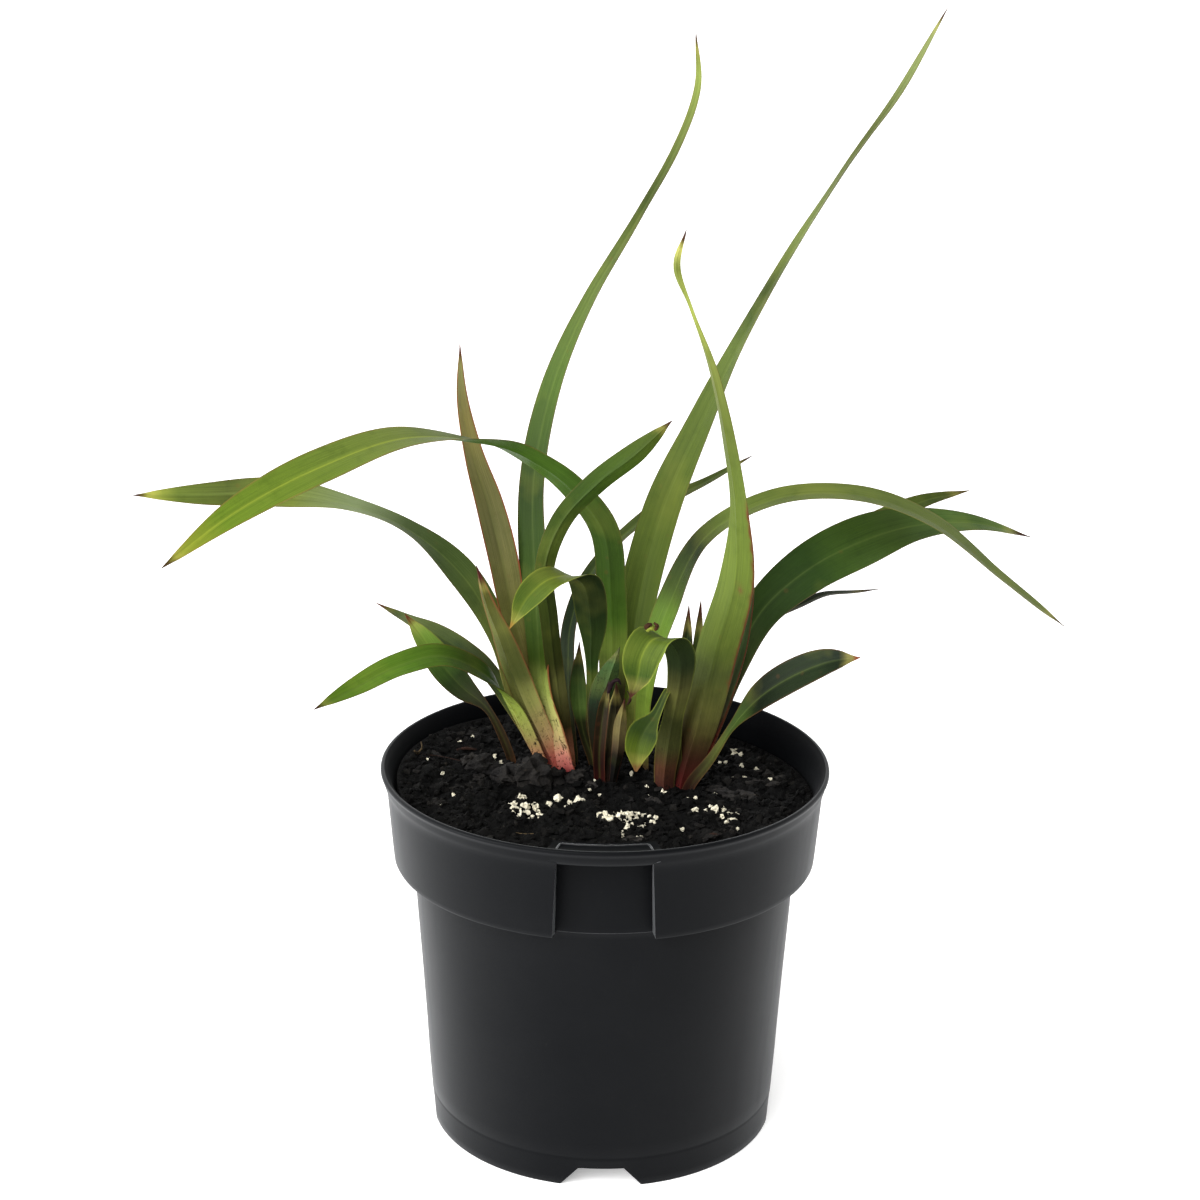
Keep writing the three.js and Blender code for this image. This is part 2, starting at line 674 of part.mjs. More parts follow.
// A smooth curve through rows of numbers: every column is eased alike
function eased(rows, t) {
  const place = t * (rows.length - 1);
  const i = Math.min(Math.floor(place), rows.length - 2);
  const s = place - i;
  const before = i > 0 ? rows[i - 1] : rows[0].map((v, k) => 2 * v - rows[1][k]);
  const after = i + 2 < rows.length ? rows[i + 2] : rows[i + 1].map((v, k) => 2 * v - rows[i][k]);
  return rows[i].map((p1, k) => {
    const p0 = before[k];
    const p2 = rows[i + 1][k];
    const p3 = after[k];
    const slope1 = (p2 - p0) / 2;
    const slope2 = (p3 - p1) / 2;
    const a = 2 * (p1 - p2) + slope1 + slope2;
    const b = 3 * (p2 - p1) - 2 * slope1 - slope2;
    return ((a * s + b) * s + slope1) * s + p1;
  });
}

// The leaf's root: its first station carried down into the crown of its shoot
function rootStation(leaf, crown) {
  const [x, y, z, width, turn] = leaf.stations[0];
  const rootWidth = width * ROOT_WIDTH_SHARE;
  return [(x + crown.x) / 2, (y + crown.y) / 2, z - ROOT_DEPTH, rootWidth, turn];
}

// One strap leaf: a thin folded blade along its stations, closed at both ends
function leafSolid(leaf, crown) {
  const rows = [rootStation(leaf, crown), ...leaf.stations];
  const point = (t) => new THREE.Vector3(...eased(rows, t).slice(0, 3));
  const length = rows.slice(1).reduce((sum, row, i) => sum + Math.hypot(
    row[0] - rows[i][0],
    row[1] - rows[i][1],
    row[2] - rows[i][2],
  ), 0);
  const steps = Math.max(LEAST_STEPS, Math.round(length / LEAF_STEP));
  const heading = leaf.heading * DEGREE;
  const level = new THREE.Vector3(-Math.sin(heading), Math.cos(heading), 0);
  const vertices = [];
  for (let step = 0; step <= steps; step += 1) {
    const t = step / steps;
    const [, , , easedWidth, turn] = eased(rows, t);
    const width = Math.max(easedWidth, TIP_HALF_WIDTH);
    const ahead = point(Math.min(t + SLOPE_REACH, 1));
    const along = ahead.sub(point(Math.max(t - SLOPE_REACH, 0))).normalize();
    const across = level.clone().addScaledVector(along, -level.dot(along)).normalize();
    across.applyAxisAngle(along, turn * DEGREE);
    const upper = along.clone().cross(across);
    const sheath = Math.max(0, 1 - t / SHEATH_SHARE);
    const fold = leaf.fold + (SHEATH_FOLD - leaf.fold) * sheath;
    const rise = width * Math.tan(fold * DEGREE);
    for (const side of [1, -1]) {
      for (const u of [1, 0, -1]) {
        const corner = point(t).addScaledVector(across, u * width);
        corner.addScaledVector(upper, (Math.abs(u) - 0.5) * rise + (side * BLADE_THICKNESS) / 2);
        vertices.push(corner.x, corner.y, corner.z);
      }
    }
  }
  const index = [];
  const quad = (a, b, c, d) => index.push(a, b, c, a, c, d);
  for (let step = 0; step < steps; step += 1) {
    const here = step * 6;
    const next = here + 6;
    for (const u of [0, 1]) {
      quad(here + u, here + u + 1, next + u + 1, next + u);
      index.push(here + u + 3, next + u + 4, here + u + 4);
      index.push(here + u + 3, next + u + 3, next + u + 4);
    }
    quad(here + 3, here, next, next + 3);
    quad(here + 2, here + 5, next + 5, next + 2);
  }
  const tip = steps * 6;
  quad(0, 3, 4, 1);
  quad(1, 4, 5, 2);
  quad(tip + 1, tip + 4, tip + 3, tip);
  quad(tip + 2, tip + 5, tip + 4, tip + 1);
  return indexedSolid(vertices, index);
}

// The short stem that a shoot's leaves grow from, standing in its hole in the mix
function crownSolid({ x, y, radius }) {
  const top = soilHeight(x, y) + CROWN_RISE;
  const side = [[radius, CROWN_BOTTOM], [radius, top - CROWN_SHOULDER], [radius * CROWN_TOP_SHARE, top]];
  return toSolid(turned([[0, CROWN_BOTTOM], ...side, [0, top]], CROWN_SIDES).translate(x, y, 0));
}

// The plain hole that a crown stands in
function crownHole({ x, y, radius }) {
  const reach = radius + GAP;
  const bottom = CROWN_BOTTOM - GAP;
  const profile = [[0, bottom], [reach, bottom], [reach, POT_HEIGHT], [0, POT_HEIGHT]];
  return toSolid(turned(profile, CROWN_SIDES).translate(x, y, 0));
}

// A whole shoot: its stem and all its leaves as one solid
function shootSolid(shoot) {
  let solid = crownSolid(shoot.crown);
  for (const leaf of shoot.leaves) {
    solid = solid.add(leafSolid(leaf, shoot.crown));
  }
  return solid;
}

// The mix with its lumps, cut clear of the ledge, the shoots and the perlite
function soilSolid() {
  const random = seededRandom(LUMP_SEED);
  let solid = soilBody();
  for (const { x, y, size } of LUMPS) {
    const rock = lump(random, size, LUMP_ROUGHNESS).translate(x, y, soilHeight(x, y));
    solid = solid.add(toSolid(rock));
  }
  const ledgeRoom = [PANEL_RADIUS - POT_WALL - GAP, RIM_RADIUS, LEDGE_HALF_ANGLE + GAP];
  solid = solid.subtract(sector(...ledgeRoom, COLLAR_BOTTOM, POT_HEIGHT));
  for (const shoot of SHOOTS) {
    solid = solid.subtract(crownHole(shoot.crown));
  }
  PERLITE_PATCHES.forEach((patch, i) => {
    solid = solid.subtract(perliteGrains(patch, GRAIN_SEED + i, GAP));
  });
  return solid;
}

const plant = new THREE.Group();
plant.add(pot());
plant.add(toMesh(soilSolid(), 'potting_mix', COLOURS.soil));
PERLITE_PATCHES.forEach((patch, i) => {
  plant.add(toMesh(perliteGrains(patch, GRAIN_SEED + i, 0), patch.name, COLOURS.perlite));
});
for (const shoot of SHOOTS) {
  plant.add(toMesh(shootSolid(shoot), shoot.name, shoot.colour));
}

export default plant;
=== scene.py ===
import math
import random

import bmesh
import bpy
import numpy as np
from mathutils import Matrix, Vector, noise


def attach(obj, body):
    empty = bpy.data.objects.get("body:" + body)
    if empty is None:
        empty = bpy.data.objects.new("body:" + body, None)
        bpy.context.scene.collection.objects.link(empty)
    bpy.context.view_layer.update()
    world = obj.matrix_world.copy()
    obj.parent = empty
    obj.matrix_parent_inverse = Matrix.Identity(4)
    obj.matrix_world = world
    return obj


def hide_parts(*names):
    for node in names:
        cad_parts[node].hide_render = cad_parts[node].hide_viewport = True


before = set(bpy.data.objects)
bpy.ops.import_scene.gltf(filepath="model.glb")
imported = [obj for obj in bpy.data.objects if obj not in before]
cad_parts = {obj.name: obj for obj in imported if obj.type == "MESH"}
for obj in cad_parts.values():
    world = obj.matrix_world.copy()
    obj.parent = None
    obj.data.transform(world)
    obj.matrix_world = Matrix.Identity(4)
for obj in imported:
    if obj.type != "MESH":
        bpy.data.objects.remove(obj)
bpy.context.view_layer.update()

# Potted flax lily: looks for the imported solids

# Lengths of the plant and pot are in millimetres, and make_piece turns them into metres.
MM = 0.001
BODY = "root"
random.seed(41)


# Small helpers

def linear(colour):
    """An sRGB colour of 0 to 255 as linear red, green and blue."""
    shares = [part / 255 for part in colour]
    return [s / 12.92 if s <= 0.04045 else ((s + 0.055) / 1.055) ** 2.4 for s in shares]


def smooth_step(low, high, value):
    share = np.clip((value - low) / (high - low), 0, 1)
    return share * share * (3 - 2 * share)


def add_object(name, data):
    made = bpy.data.objects.new(name, data)
    bpy.context.scene.collection.objects.link(made)
    return made


def make_piece(name, points, faces, material, node=None, smooth=True, sharp=None):
    """A mesh object in metres that rides on the body, from points in millimetres."""
    mesh = bpy.data.meshes.new(name)
    mesh.from_pydata((np.asarray(points, float) * MM).tolist(), [], faces)
    mesh.validate()
    mesh.polygons.foreach_set("use_smooth", [smooth] * len(mesh.polygons))
    if sharp:
        mesh.set_sharp_from_angle(angle=math.radians(sharp))
    mesh.materials.append(material)
    mesh.update()
    piece = add_object(name, mesh)
    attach(piece, BODY)
    if node:
        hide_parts(node)
    return piece


def set_attribute(piece, name, kind, values):
    attribute = piece.data.attributes.new(name, kind, "POINT")
    field = "color" if kind == "FLOAT_COLOR" else "vector"
    attribute.data.foreach_set(field, np.asarray(values, np.float32).ravel())


def set_shade(piece, shade):
    """How light or dark the material is at each point, as a grey."""
    grey = np.stack([shade, shade, shade, np.ones(len(shade))], axis=1)
    set_attribute(piece, "shade", "FLOAT_COLOR", grey)


def tube_faces(rows, around):
    """Faces between the rows of a tube whose points are listed row by row."""
    faces = []
    for row in range(rows - 1):
        for column in range(around):
            after = (column + 1) % around
            faces.append((row * around + column, row * around + after,
                          (row + 1) * around + after, (row + 1) * around + column))
    return faces


# Material helpers

def new_material(name):
    material = bpy.data.materials.new(name)
    material.use_nodes = True
    tree = material.node_tree
    tree.nodes.clear()
    return material, tree


def add(tree, kind, inputs=None, **settings):
    made = tree.nodes.new(kind)
    for key, value in settings.items():
        setattr(made, key, value)
    for key, value in (inputs or {}).items():
        if isinstance(value, bpy.types.NodeSocket):
            tree.links.new(value, made.inputs[key])
        else:
            made.inputs[key].default_value = value
    return made


def math_node(tree, operation, first, second, clamp=False):
    return add(tree, "ShaderNodeMath", {0: first, 1: second}, operation=operation, use_clamp=clamp).outputs[0]


def noise_node(tree, vector, scale, detail=3, roughness=0.55):
    inputs = {"Vector": vector, "Scale": scale, "Detail": detail, "Roughness": roughness}
    return add(tree, "ShaderNodeTexNoise", inputs).outputs["Fac"]


def remap(tree, value, low, high, to_low=0.0, to_high=1.0):
    inputs = {"Value": value, "From Min": low, "From Max": high, "To Min": to_low, "To Max": to_high}
    return add(tree, "ShaderNodeMapRange", inputs).outputs["Result"]


def mix(tree, factor, first, second, blend="MIX"):
    made = add(tree, "ShaderNodeMix", {0: factor, 6: first, 7: second}, data_type="RGBA", blend_type=blend)
    return made.outputs[2]


def rgba(colour):
    return [*linear(colour), 1.0]


def object_coordinates(tree):
    return add(tree, "ShaderNodeTexCoord").outputs["Object"]


def attribute_node(tree, name):
    return add(tree, "ShaderNodeAttribute", attribute_name=name)


def bump(tree, height, strength, distance):
    inputs = {"Height": height, "Strength": strength, "Distance": distance}
    return add(tree, "ShaderNodeBump", inputs).outputs["Normal"]


def surface(tree, colour, roughness, normal, specular):
    shader = add(tree, "ShaderNodeBsdfPrincipled", {
        "Base Color": colour, "Roughness": roughness, "Normal": normal, "Specular IOR Level": specular})
    output = add(tree, "ShaderNodeOutputMaterial")
    tree.links.new(shader.outputs[0], output.inputs[0])
    return shader


# Materials

def make_pot_material(name, specular, sheen, dust_and_highlight_share, gloss):
    """Dark moulded plastic with a satin sheen, fine grain, faint dust and handling marks."""
    material, tree = new_material(name)
    place = object_coordinates(tree)
    grain = noise_node(tree, place, 1800, 2)
    cloud = noise_node(tree, place, 22, 4)
    streaks = add(tree, "ShaderNodeMapping", {"Vector": place, "Scale": (90, 90, 9)}).outputs[0]
    scuffs = noise_node(tree, streaks, 1, 6, 0.7)
    base = mix(tree, remap(tree, cloud, 0.35, 0.65), rgba((5, 6, 8)), rgba((9, 10, 12)))
    # Pale dust; on the ledge's edge its share is raised so that it also paints a highlight.
    dust = remap(tree, noise_node(tree, place, 420, 5, 0.7), 0.68, 0.8, 0, dust_and_highlight_share)
    dusted_and_highlit = mix(tree, dust, base, rgba((88, 85, 80)))
    marked = mix(tree, remap(tree, scuffs, 0.66, 0.84, 0, 0.12), dusted_and_highlit, rgba((66, 67, 70)))
    roughness = remap(tree, cloud, 0.3, 0.7, *gloss)
    rough_marks = math_node(tree, "ADD", roughness, remap(tree, scuffs, 0.5, 0.8, 0, 0.1))
    height = math_node(tree, "ADD", grain, math_node(tree, "MULTIPLY", cloud, 2.0))
    shader = surface(tree, marked, rough_marks, bump(tree, height, 0.1, 0.0002), specular=specular)
    shader.inputs["Sheen Weight"].default_value = sheen
    shader.inputs["Sheen Roughness"].default_value = 0.42
    shader.inputs["Sheen Tint"].default_value = (0.93, 0.96, 1, 1)
    return material


def make_mix_material(name, dark, light, bark):
    """Moist peat and bark: nearly black, in places a lighter brown, rough and crumbly."""
    material, tree = new_material(name)
    place = object_coordinates(tree)
    patch = noise_node(tree, place, 90, 5, 0.65)
    speck = noise_node(tree, place, 700, 4, 0.7)
    base = mix(tree, remap(tree, patch, 0.38, 0.66), rgba(dark), rgba(light))
    flecked = mix(tree, remap(tree, speck, 0.6, 0.74, 0, 0.7), base, rgba(bark))
    # Each point's grey multiplies the colour: painted shade in the hollows of the bed, a tone that differs at
    # random on loose grains, and an even grey on rods.
    shade = attribute_node(tree, "shade").outputs["Color"]
    dimmed = mix(tree, 1.0, flecked, shade, "MULTIPLY")
    # Painted shade: where the speck noise is low, in the hollows of its bump, the colour darkens to near
    # black.
    shaded = mix(tree, remap(tree, speck, 0.48, 0.3, 0, 0.8), dimmed, rgba((3, 3, 3)))
    roughness = remap(tree, patch, 0.3, 0.7, 0.78, 0.95)
    height = math_node(tree, "ADD", speck, math_node(tree, "MULTIPLY", patch, 1.5))
    surface(tree, shaded, roughness, bump(tree, height, 0.8, 0.0009), specular=0.12)
    return material


def make_perlite_material():
    """White expanded grains with pits and a little soil on them."""
    material, tree = new_material("perlite")
    place = object_coordinates(tree)
    pits = noise_node(tree, place, 1500, 4, 0.7)
    stain = noise_node(tree, place, 330, 4, 0.6)
    base = mix(tree, remap(tree, pits, 0.32, 0.5), rgba((176, 166, 138)), rgba((226, 220, 198)))
    stained = mix(tree, remap(tree, stain, 0.62, 0.76, 0, 0.6), base, rgba((124, 104, 78)))
    surface(tree, stained, remap(tree, pits, 0.3, 0.7, 0.75, 0.95),
            bump(tree, pits, 0.7, 0.0005), specular=0.3)
    return material


def make_leaf_material():
    """Leaf skin: the blade's colours with their painted light and shade, long veins, mottling, soil specks
    and rust spots.
    """
    material, tree = new_material("leaf")
    place = object_coordinates(tree)
    tint = attribute_node(tree, "tint").outputs["Color"]
    strap = attribute_node(tree, "strap").outputs["Vector"]
    marks = attribute_node(tree, "marks").outputs["Vector"]
    masks = add(tree, "ShaderNodeSeparateXYZ", {"Vector": marks})
    dirt_mask, rust_mask, gloss_mask = masks.outputs[0], masks.outputs[1], masks.outputs[2]

    def along(across_scale, length_scale, detail):
        scaled = add(tree, "ShaderNodeMapping", {"Vector": strap, "Scale": (across_scale, length_scale, 7)})
        return noise_node(tree, scaled.outputs[0], 1, detail, 0.6)

    veins = along(3.2, 0.03, 3)
    fine_veins = along(9, 0.08, 2)
    streaks = along(0.9, 0.02, 3)
    mottling = noise_node(tree, place, 150, 4, 0.6)
    cloud = noise_node(tree, place, 38, 3)

    grooved = mix(tree, remap(tree, veins, 0.38, 0.6, 0.32, 0), tint, rgba((190, 196, 176)), "MULTIPLY")
    fine = remap(tree, fine_veins, 0.5, 0.7, 0, 0.2)
    lighter = mix(tree, fine, grooved, rgba((255, 255, 190)), "SOFT_LIGHT")
    yellowed = mix(tree, remap(tree, cloud, 0.52, 0.74, 0, 0.12), lighter, rgba((170, 172, 76)))
    streak = remap(tree, streaks, 0.5, 0.28, 0, 0.32)
    streaked = mix(tree, streak, yellowed, rgba((176, 190, 168)), "MULTIPLY")
    mottle = remap(tree, mottling, 0.46, 0.3, 0, 0.3)
    mottled = mix(tree, mottle, streaked, rgba((184, 194, 172)), "MULTIPLY")
    spots = add(tree, "ShaderNodeTexVoronoi", {"Vector": place, "Scale": 190}).outputs["Distance"]
    spot_noise = noise_node(tree, place, 60, 2)
    spotted = math_node(tree, "MULTIPLY", remap(tree, spots, 0.2, 0.1), remap(tree, spot_noise, 0.5, 0.6))
    rust = math_node(tree, "MULTIPLY", spotted, rust_mask, clamp=True)
    rusty = mix(tree, rust, mottled, rgba((112, 62, 34)))
    grit = noise_node(tree, place, 820, 4, 0.72)
    clods = noise_node(tree, place, 230, 4, 0.68)
    cover = math_node(tree, "ADD", remap(tree, grit, 0.57, 0.61), remap(tree, clods, 0.6, 0.63))
    dirt = math_node(tree, "MULTIPLY", cover, dirt_mask, clamp=True)
    dirty = mix(tree, dirt, rusty, rgba((30, 24, 18)))

    gloss = remap(tree, cloud, 0.3, 0.7, 0.42, 0.52)
    dulled = math_node(tree, "ADD", gloss, math_node(tree, "MULTIPLY", gloss_mask, 0.3))
    roughness = math_node(tree, "ADD", dulled, math_node(tree, "MULTIPLY", dirt, 0.3), clamp=True)
    ridges = math_node(tree, "ADD", veins, math_node(tree, "MULTIPLY", fine_veins, 0.5))
    height = math_node(tree, "ADD", ridges, math_node(tree, "MULTIPLY", dirt, 1.2))
    surface(tree, dirty, roughness, bump(tree, height, 0.3, 0.0004), specular=0.08)
    return material


pot_material = make_pot_material("pot_plastic", 0.05, 0.13, 0.16, (0.38, 0.46))
inside_material = make_pot_material("pot_inside", 0.02, 0.02, 0.1, (0.5, 0.6))
# The ledge's edge: a lighter, shinier copy of the plastic, whose lightness is a painted highlight.
edge_highlight_material = make_pot_material("pot_edge_highlight", 0.3, 0.7, 0.5, (0.3, 0.4))
mix_material = make_mix_material("potting_mix", (8, 8, 8), (18, 17, 16), (34, 30, 26))
crumb_material = make_mix_material("mix_crumbs", (11, 11, 10), (25, 23, 21), (48, 41, 34))
bark_material = make_mix_material("bark", (22, 21, 21), (38, 36, 34), (60, 52, 44))
straw_material = make_mix_material("straw", (78, 66, 48), (112, 96, 70), (140, 122, 90))
stick_material = make_mix_material("stick", (34, 22, 18), (50, 33, 26), (70, 46, 34))
perlite_material = make_perlite_material()
leaf_material = make_leaf_material()


# Pot

# Degrees between the columns of the wall
COLUMN_STEP = 1.5
CLOSEST_COLUMNS = 0.2

# Floor with its drainage holes, and the notches in the foot
FLOOR_UNDERSIDE = 7.5
FLOOR_TOP = 9
FLOOR_RADIUS = 57.4
DRAIN_HOLES = 8
DRAIN_RING = 38
DRAIN_RADIUS = 5
NOTCH_HEIGHT = 6.6
NOTCH_TOP_HALF = 7.5
NOTCH_BOTTOM_HALF = 13.5
FOOT_RADIUS = 58.3

# The recessed panel and the ledge behind it each end between two angles from the front. The panel's
# side walls lie at half widths that narrow towards the top.
PANEL_EDGE = (13.35, 13.85)
LEDGE_EDGE = (14.6, 15.0)
PANEL_BACK_HALF = 15.5
PANEL_BACK_LEAN = 0.5
PANEL_FACE_HALF = 16.4
PANEL_FACE_LEAN = 1.1
COLLAR_FOOT = 95
COLLAR_REACH = 27

# Radius and height of each row, from the foot up and over the rim. Where the panel or the ledge
# differs, the row has a second radius and height for that part of the front.
FOOT_ROWS = [
    (58, 0), (58.3, 0.4), (58.42, 3), (58.6, 6.9), (58.75, 9.5),
]
BODY_ROWS = [
    (58.8, 10.2), (58.72, 10.6), (58.85, 11), (59.2, 16), (59.8, 25), (60.4, 36), (61.05, 46),
    (61.7, 56), (62.4, 66), (63.1, 76), (63.75, 86), (64.2, 92.5), (64.38, 94.6), (64.6, 94.95),
]
COLLAR_ROWS = [
    (69.9, 95, 64.7, 95), (70.5, 95.15, 64.85, 95.15), (70.8, 95.7, 64.9, 95.7), (70.95, 97, 64.9, 97),
    (71.4, 102, 64.9, 102), (71.9, 108, 64.9, 108), (72.4, 114, 64.9, 114), (72.8, 118.5, 64.9, 118.5),
    (73.0, 120, 64.9, 120.8), (73.3, 121.5, 65.1, 121.6), (73.5, 122, 65.6, 121.85),
    (73.7, 122.6, 73.1, 122.0),
]
RIM_ROWS = [
    (73.95, 123.3), (74.15, 124.6), (74.45, 125.5), (74.85, 126), (75, 126.5), (74.9, 127), (74.6, 127.3),
    (74.2, 127.4), (73.7, 127.3), (73.4, 127.05), (72.9, 126.7),
]
INNER_ROWS = [
    (72.3, 125.8, 71.8, 125.95), (71.7, 124.6, 68, 125.8), (71.1, 122.5, 64, 125.8),
    (70.6, 120.5, 63.6, 125.4), (70.4, 114, 63.6, 114), (69.5, 96.3, 63.6, 96.3), (63.1, 96.3, 63.1, 96.3),
]
LINING_ROWS = [(60.4, 56), (57.8, 11), (57.1, 9.2)]
SKIRT_ROWS = [(57, 7.5), (57, 0.4), (57.3, 0)]

# The inside's material starts this many rows before the inner wall, at the crest of the lip.
LIP_ROWS = 3


def notch_height(angle):
    """Height of the foot's lower edge at an angle from the front, raised at the four notches."""
    nearest = (angle + 45) % 90 - 45
    reach = abs(math.radians(nearest)) * FOOT_RADIUS
    if reach < NOTCH_TOP_HALF:
        return NOTCH_HEIGHT
    slope = (NOTCH_BOTTOM_HALF - reach) / (NOTCH_BOTTOM_HALF - NOTCH_TOP_HALF)
    return max(0.0, NOTCH_HEIGHT * slope)


def pot_columns():
    """Angles of the columns: evenly spaced, and one at each edge of the panel, ledge and notches."""
    angles = set(np.round(np.arange(-180, 180, COLUMN_STEP), 3))
    edges = [*PANEL_EDGE, *LEDGE_EDGE]
    angles.update(edges)
    angles.update(-edge for edge in edges)
    notch_edges = [math.degrees(reach / FOOT_RADIUS) for reach in (NOTCH_TOP_HALF, NOTCH_BOTTOM_HALF)]
    for middle in (-180, -90, 0, 90):
        for edge in notch_edges:
            angles.add((middle + edge + 180) % 360 - 180)
            angles.add((middle - edge + 180) % 360 - 180)
    ordered = sorted(angles)
    kept = [ordered[0]]
    for angle in ordered[1:]:
        if angle - kept[-1] > CLOSEST_COLUMNS or angle in edges or -angle in edges:
            kept.append(angle)
    return kept


def edge_share(angle, edge):
    """1 within the panel or the ledge, 0 outside it."""
    return float(np.clip((edge[1] - abs(angle)) / (edge[1] - edge[0]), 0, 1))


def panel_bearing(angle, radius, height):
    """Bearing of a collar point: the panel's side walls run nearly straight back and lean inwards."""
    climb = (height - COLLAR_FOOT) / COLLAR_REACH
    if abs(angle) == PANEL_EDGE[0]:
        half = PANEL_BACK_HALF - PANEL_BACK_LEAN * climb
    elif abs(angle) == PANEL_EDGE[1]:
        half = PANEL_FACE_HALF - PANEL_FACE_LEAN * climb
    else:
        return angle
    return math.copysign(math.degrees(math.asin(half / radius)), angle)


def pot_profile(angle):
    """Radius, height and bearing of every row at one column of the pot."""
    panel = edge_share(angle, PANEL_EDGE)
    ledge = edge_share(angle, LEDGE_EDGE)
    lift = notch_height(angle)
    foot_top = FOOT_ROWS[-1][1]
    rows = []
    for radius, height in FOOT_ROWS:
        rows.append((radius, lift + height * (foot_top - lift) / foot_top))
    rows.extend(BODY_ROWS)
    first_collar = len(rows)
    for radius, height, panel_radius, panel_height in COLLAR_ROWS:
        rows.append((radius + (panel_radius - radius) * panel, height + (panel_height - height) * panel))
    end_collar = len(rows)
    rows.extend(RIM_ROWS)
    for radius, height, ledge_radius, ledge_height in INNER_ROWS:
        rows.append((radius + (ledge_radius - radius) * ledge, height + (ledge_height - height) * ledge))
    rows.extend(LINING_ROWS)
    for radius, height in SKIRT_ROWS:
        rows.append((radius, lift + height * (FLOOR_UNDERSIDE - lift) / FLOOR_UNDERSIDE))
    placed = []
    for index, (radius, height) in enumerate(rows):
        on_collar = first_collar <= index < end_collar
        bearing = panel_bearing(angle, radius, height) if on_collar else angle
        placed.append((radius, height, bearing))
    return placed


def make_pot():
    columns = pot_columns()
    points = []
    for angle in columns:
        for radius, height, bearing in pot_profile(angle):
            turn = math.radians(bearing)
            points.append((radius * math.sin(turn), -radius * math.cos(turn), height))
    rows = len(pot_profile(0))
    faces = []
    for column in range(len(columns)):
        after = (column + 1) % len(columns)
        for row in range(rows):
            up = (row + 1) % rows
            faces.append((column * rows + row, after * rows + row, after * rows + up, column * rows + up))
    wall = make_piece("pot_wall", points, faces, pot_material, "pot", sharp=38)
    wall.data.materials.append(inside_material)
    first_inside = rows - len(SKIRT_ROWS) - len(LINING_ROWS) - len(INNER_ROWS) - LIP_ROWS
    inner_rows = range(first_inside, rows - len(SKIRT_ROWS))
    indices = [int(face % rows in inner_rows) for face in range(len(faces))]
    wall.data.polygons.foreach_set("material_index", indices)


def make_pot_floor():
    """The raised floor with its drainage holes, from a flat curve with holes in it."""
    curve = bpy.data.curves.new("pot_floor_outline", "CURVE")
    curve.dimensions = "2D"
    curve.fill_mode = "BOTH"
    curve.extrude = (FLOOR_TOP - FLOOR_UNDERSIDE) / 2 * MM

    def ring(x, y, radius, sides):
        spline = curve.splines.new("POLY")
        spline.points.add(sides - 1)
        for index in range(sides):
            turn = math.tau * index / sides
            place = ((x + radius * math.cos(turn)) * MM, (y + radius * math.sin(turn)) * MM, 0, 1)
            spline.points[index].co = place
        spline.use_cyclic_u = True

    ring(0, 0, FLOOR_RADIUS, 120)
    for hole in range(DRAIN_HOLES):
        turn = math.tau * (hole + 0.5) / DRAIN_HOLES
        ring(DRAIN_RING * math.cos(turn), DRAIN_RING * math.sin(turn), DRAIN_RADIUS, 28)
    outline = bpy.data.objects.new("pot_floor_outline", curve)
    flat = bpy.data.meshes.new_from_object(outline)
    points = np.array([vertex.co[:] for vertex in flat.vertices]) / MM
    points[:, 2] += (FLOOR_TOP + FLOOR_UNDERSIDE) / 2
    faces = [tuple(polygon.vertices) for polygon in flat.polygons]
    bpy.data.objects.remove(outline)
    bpy.data.curves.remove(curve)
    bpy.data.meshes.remove(flat)
    make_piece("pot_floor", points, faces, pot_material, "pot", smooth=False)


make_pot()
make_pot_floor()


# Potting mix

# The top falls to the right and has a slight bowl and twist. The mix reaches less far at the panel.
SOIL_LEVEL = 118.4
SOIL_FALL = 3.2
SOIL_BOWL = 1.6
SOIL_TWIST = 2
SOIL_RADIUS = 69.9
SOIL_REACH = 69.6
PANEL_SOIL_REACH = 63.1
PANEL_SOIL_EDGE = (15.2, 16.8)
MIX_CELLS = 210

# Cells that give crumbs: size, shift, level, height
CELL_LAYERS = [(3.1, (0, 0, 0), 0.42, 1.5), (1.45, (9, 4, 1), 0.4, 0.6), (6.2, (4, 7, 2), 0.4, 1.8)]
EDGE_SLOPE = 2.5
EDGE_DROP = 0.5

# The side, a gap inside the wall of the pot: radius, height
MIX_SIDE = [(69.6, 112), (68.8, 96.6), (62.6, 96.6), (59.9, 56), (56.1, 9.3)]

# Lumps: place, half lengths, height
LUMPS = [
    (-24.5, -3, 6.2, 4.2, 4.4), (-28, 5, 6.5, 5, 3.6), (-38.5, 5, 8, 3.6, 3.2), (-15.5, 6, 4, 3, 2.4),
    (-8.5, 7, 4.5, 3, 2.2), (-3, 1, 3, 2.4, 1.6), (3.5, -11, 3.6, 2.6, 1.5), (-12, -8, 3, 2.4, 1.4),
    (48, 30, 6, 7, 2.6), (-8, -40, 6, 4, 2.6), (32, -38, 5, 5, 2.2), (-50, -32, 6, 5, 2),
    (20, -42, 5, 4, 1.8), (58, 4, 4, 6, 1.6), (-60, 2, 4, 6, 1.8), (0, 50, 10, 6, 2.4),
    (-30, 48, 7, 6, 2.4), (24, 46, 6, 5, 2.2), (52, -20, 4, 5, 1.6), (-42, -12, 5, 4, 1.8),
]


def mix_reach(x, y):
    """How far out the mix may lie at the bearing of a point: less behind the recessed panel."""
    bearing = abs(math.degrees(math.atan2(x, -y)))
    return PANEL_SOIL_REACH + (SOIL_REACH - PANEL_SOIL_REACH) * float(smooth_step(*PANEL_SOIL_EDGE, bearing))


def soil_height(x, y):
    u = x / SOIL_RADIUS
    v = y / SOIL_RADIUS
    return SOIL_LEVEL - SOIL_FALL * u + SOIL_BOWL * u * u - SOIL_TWIST * u * v


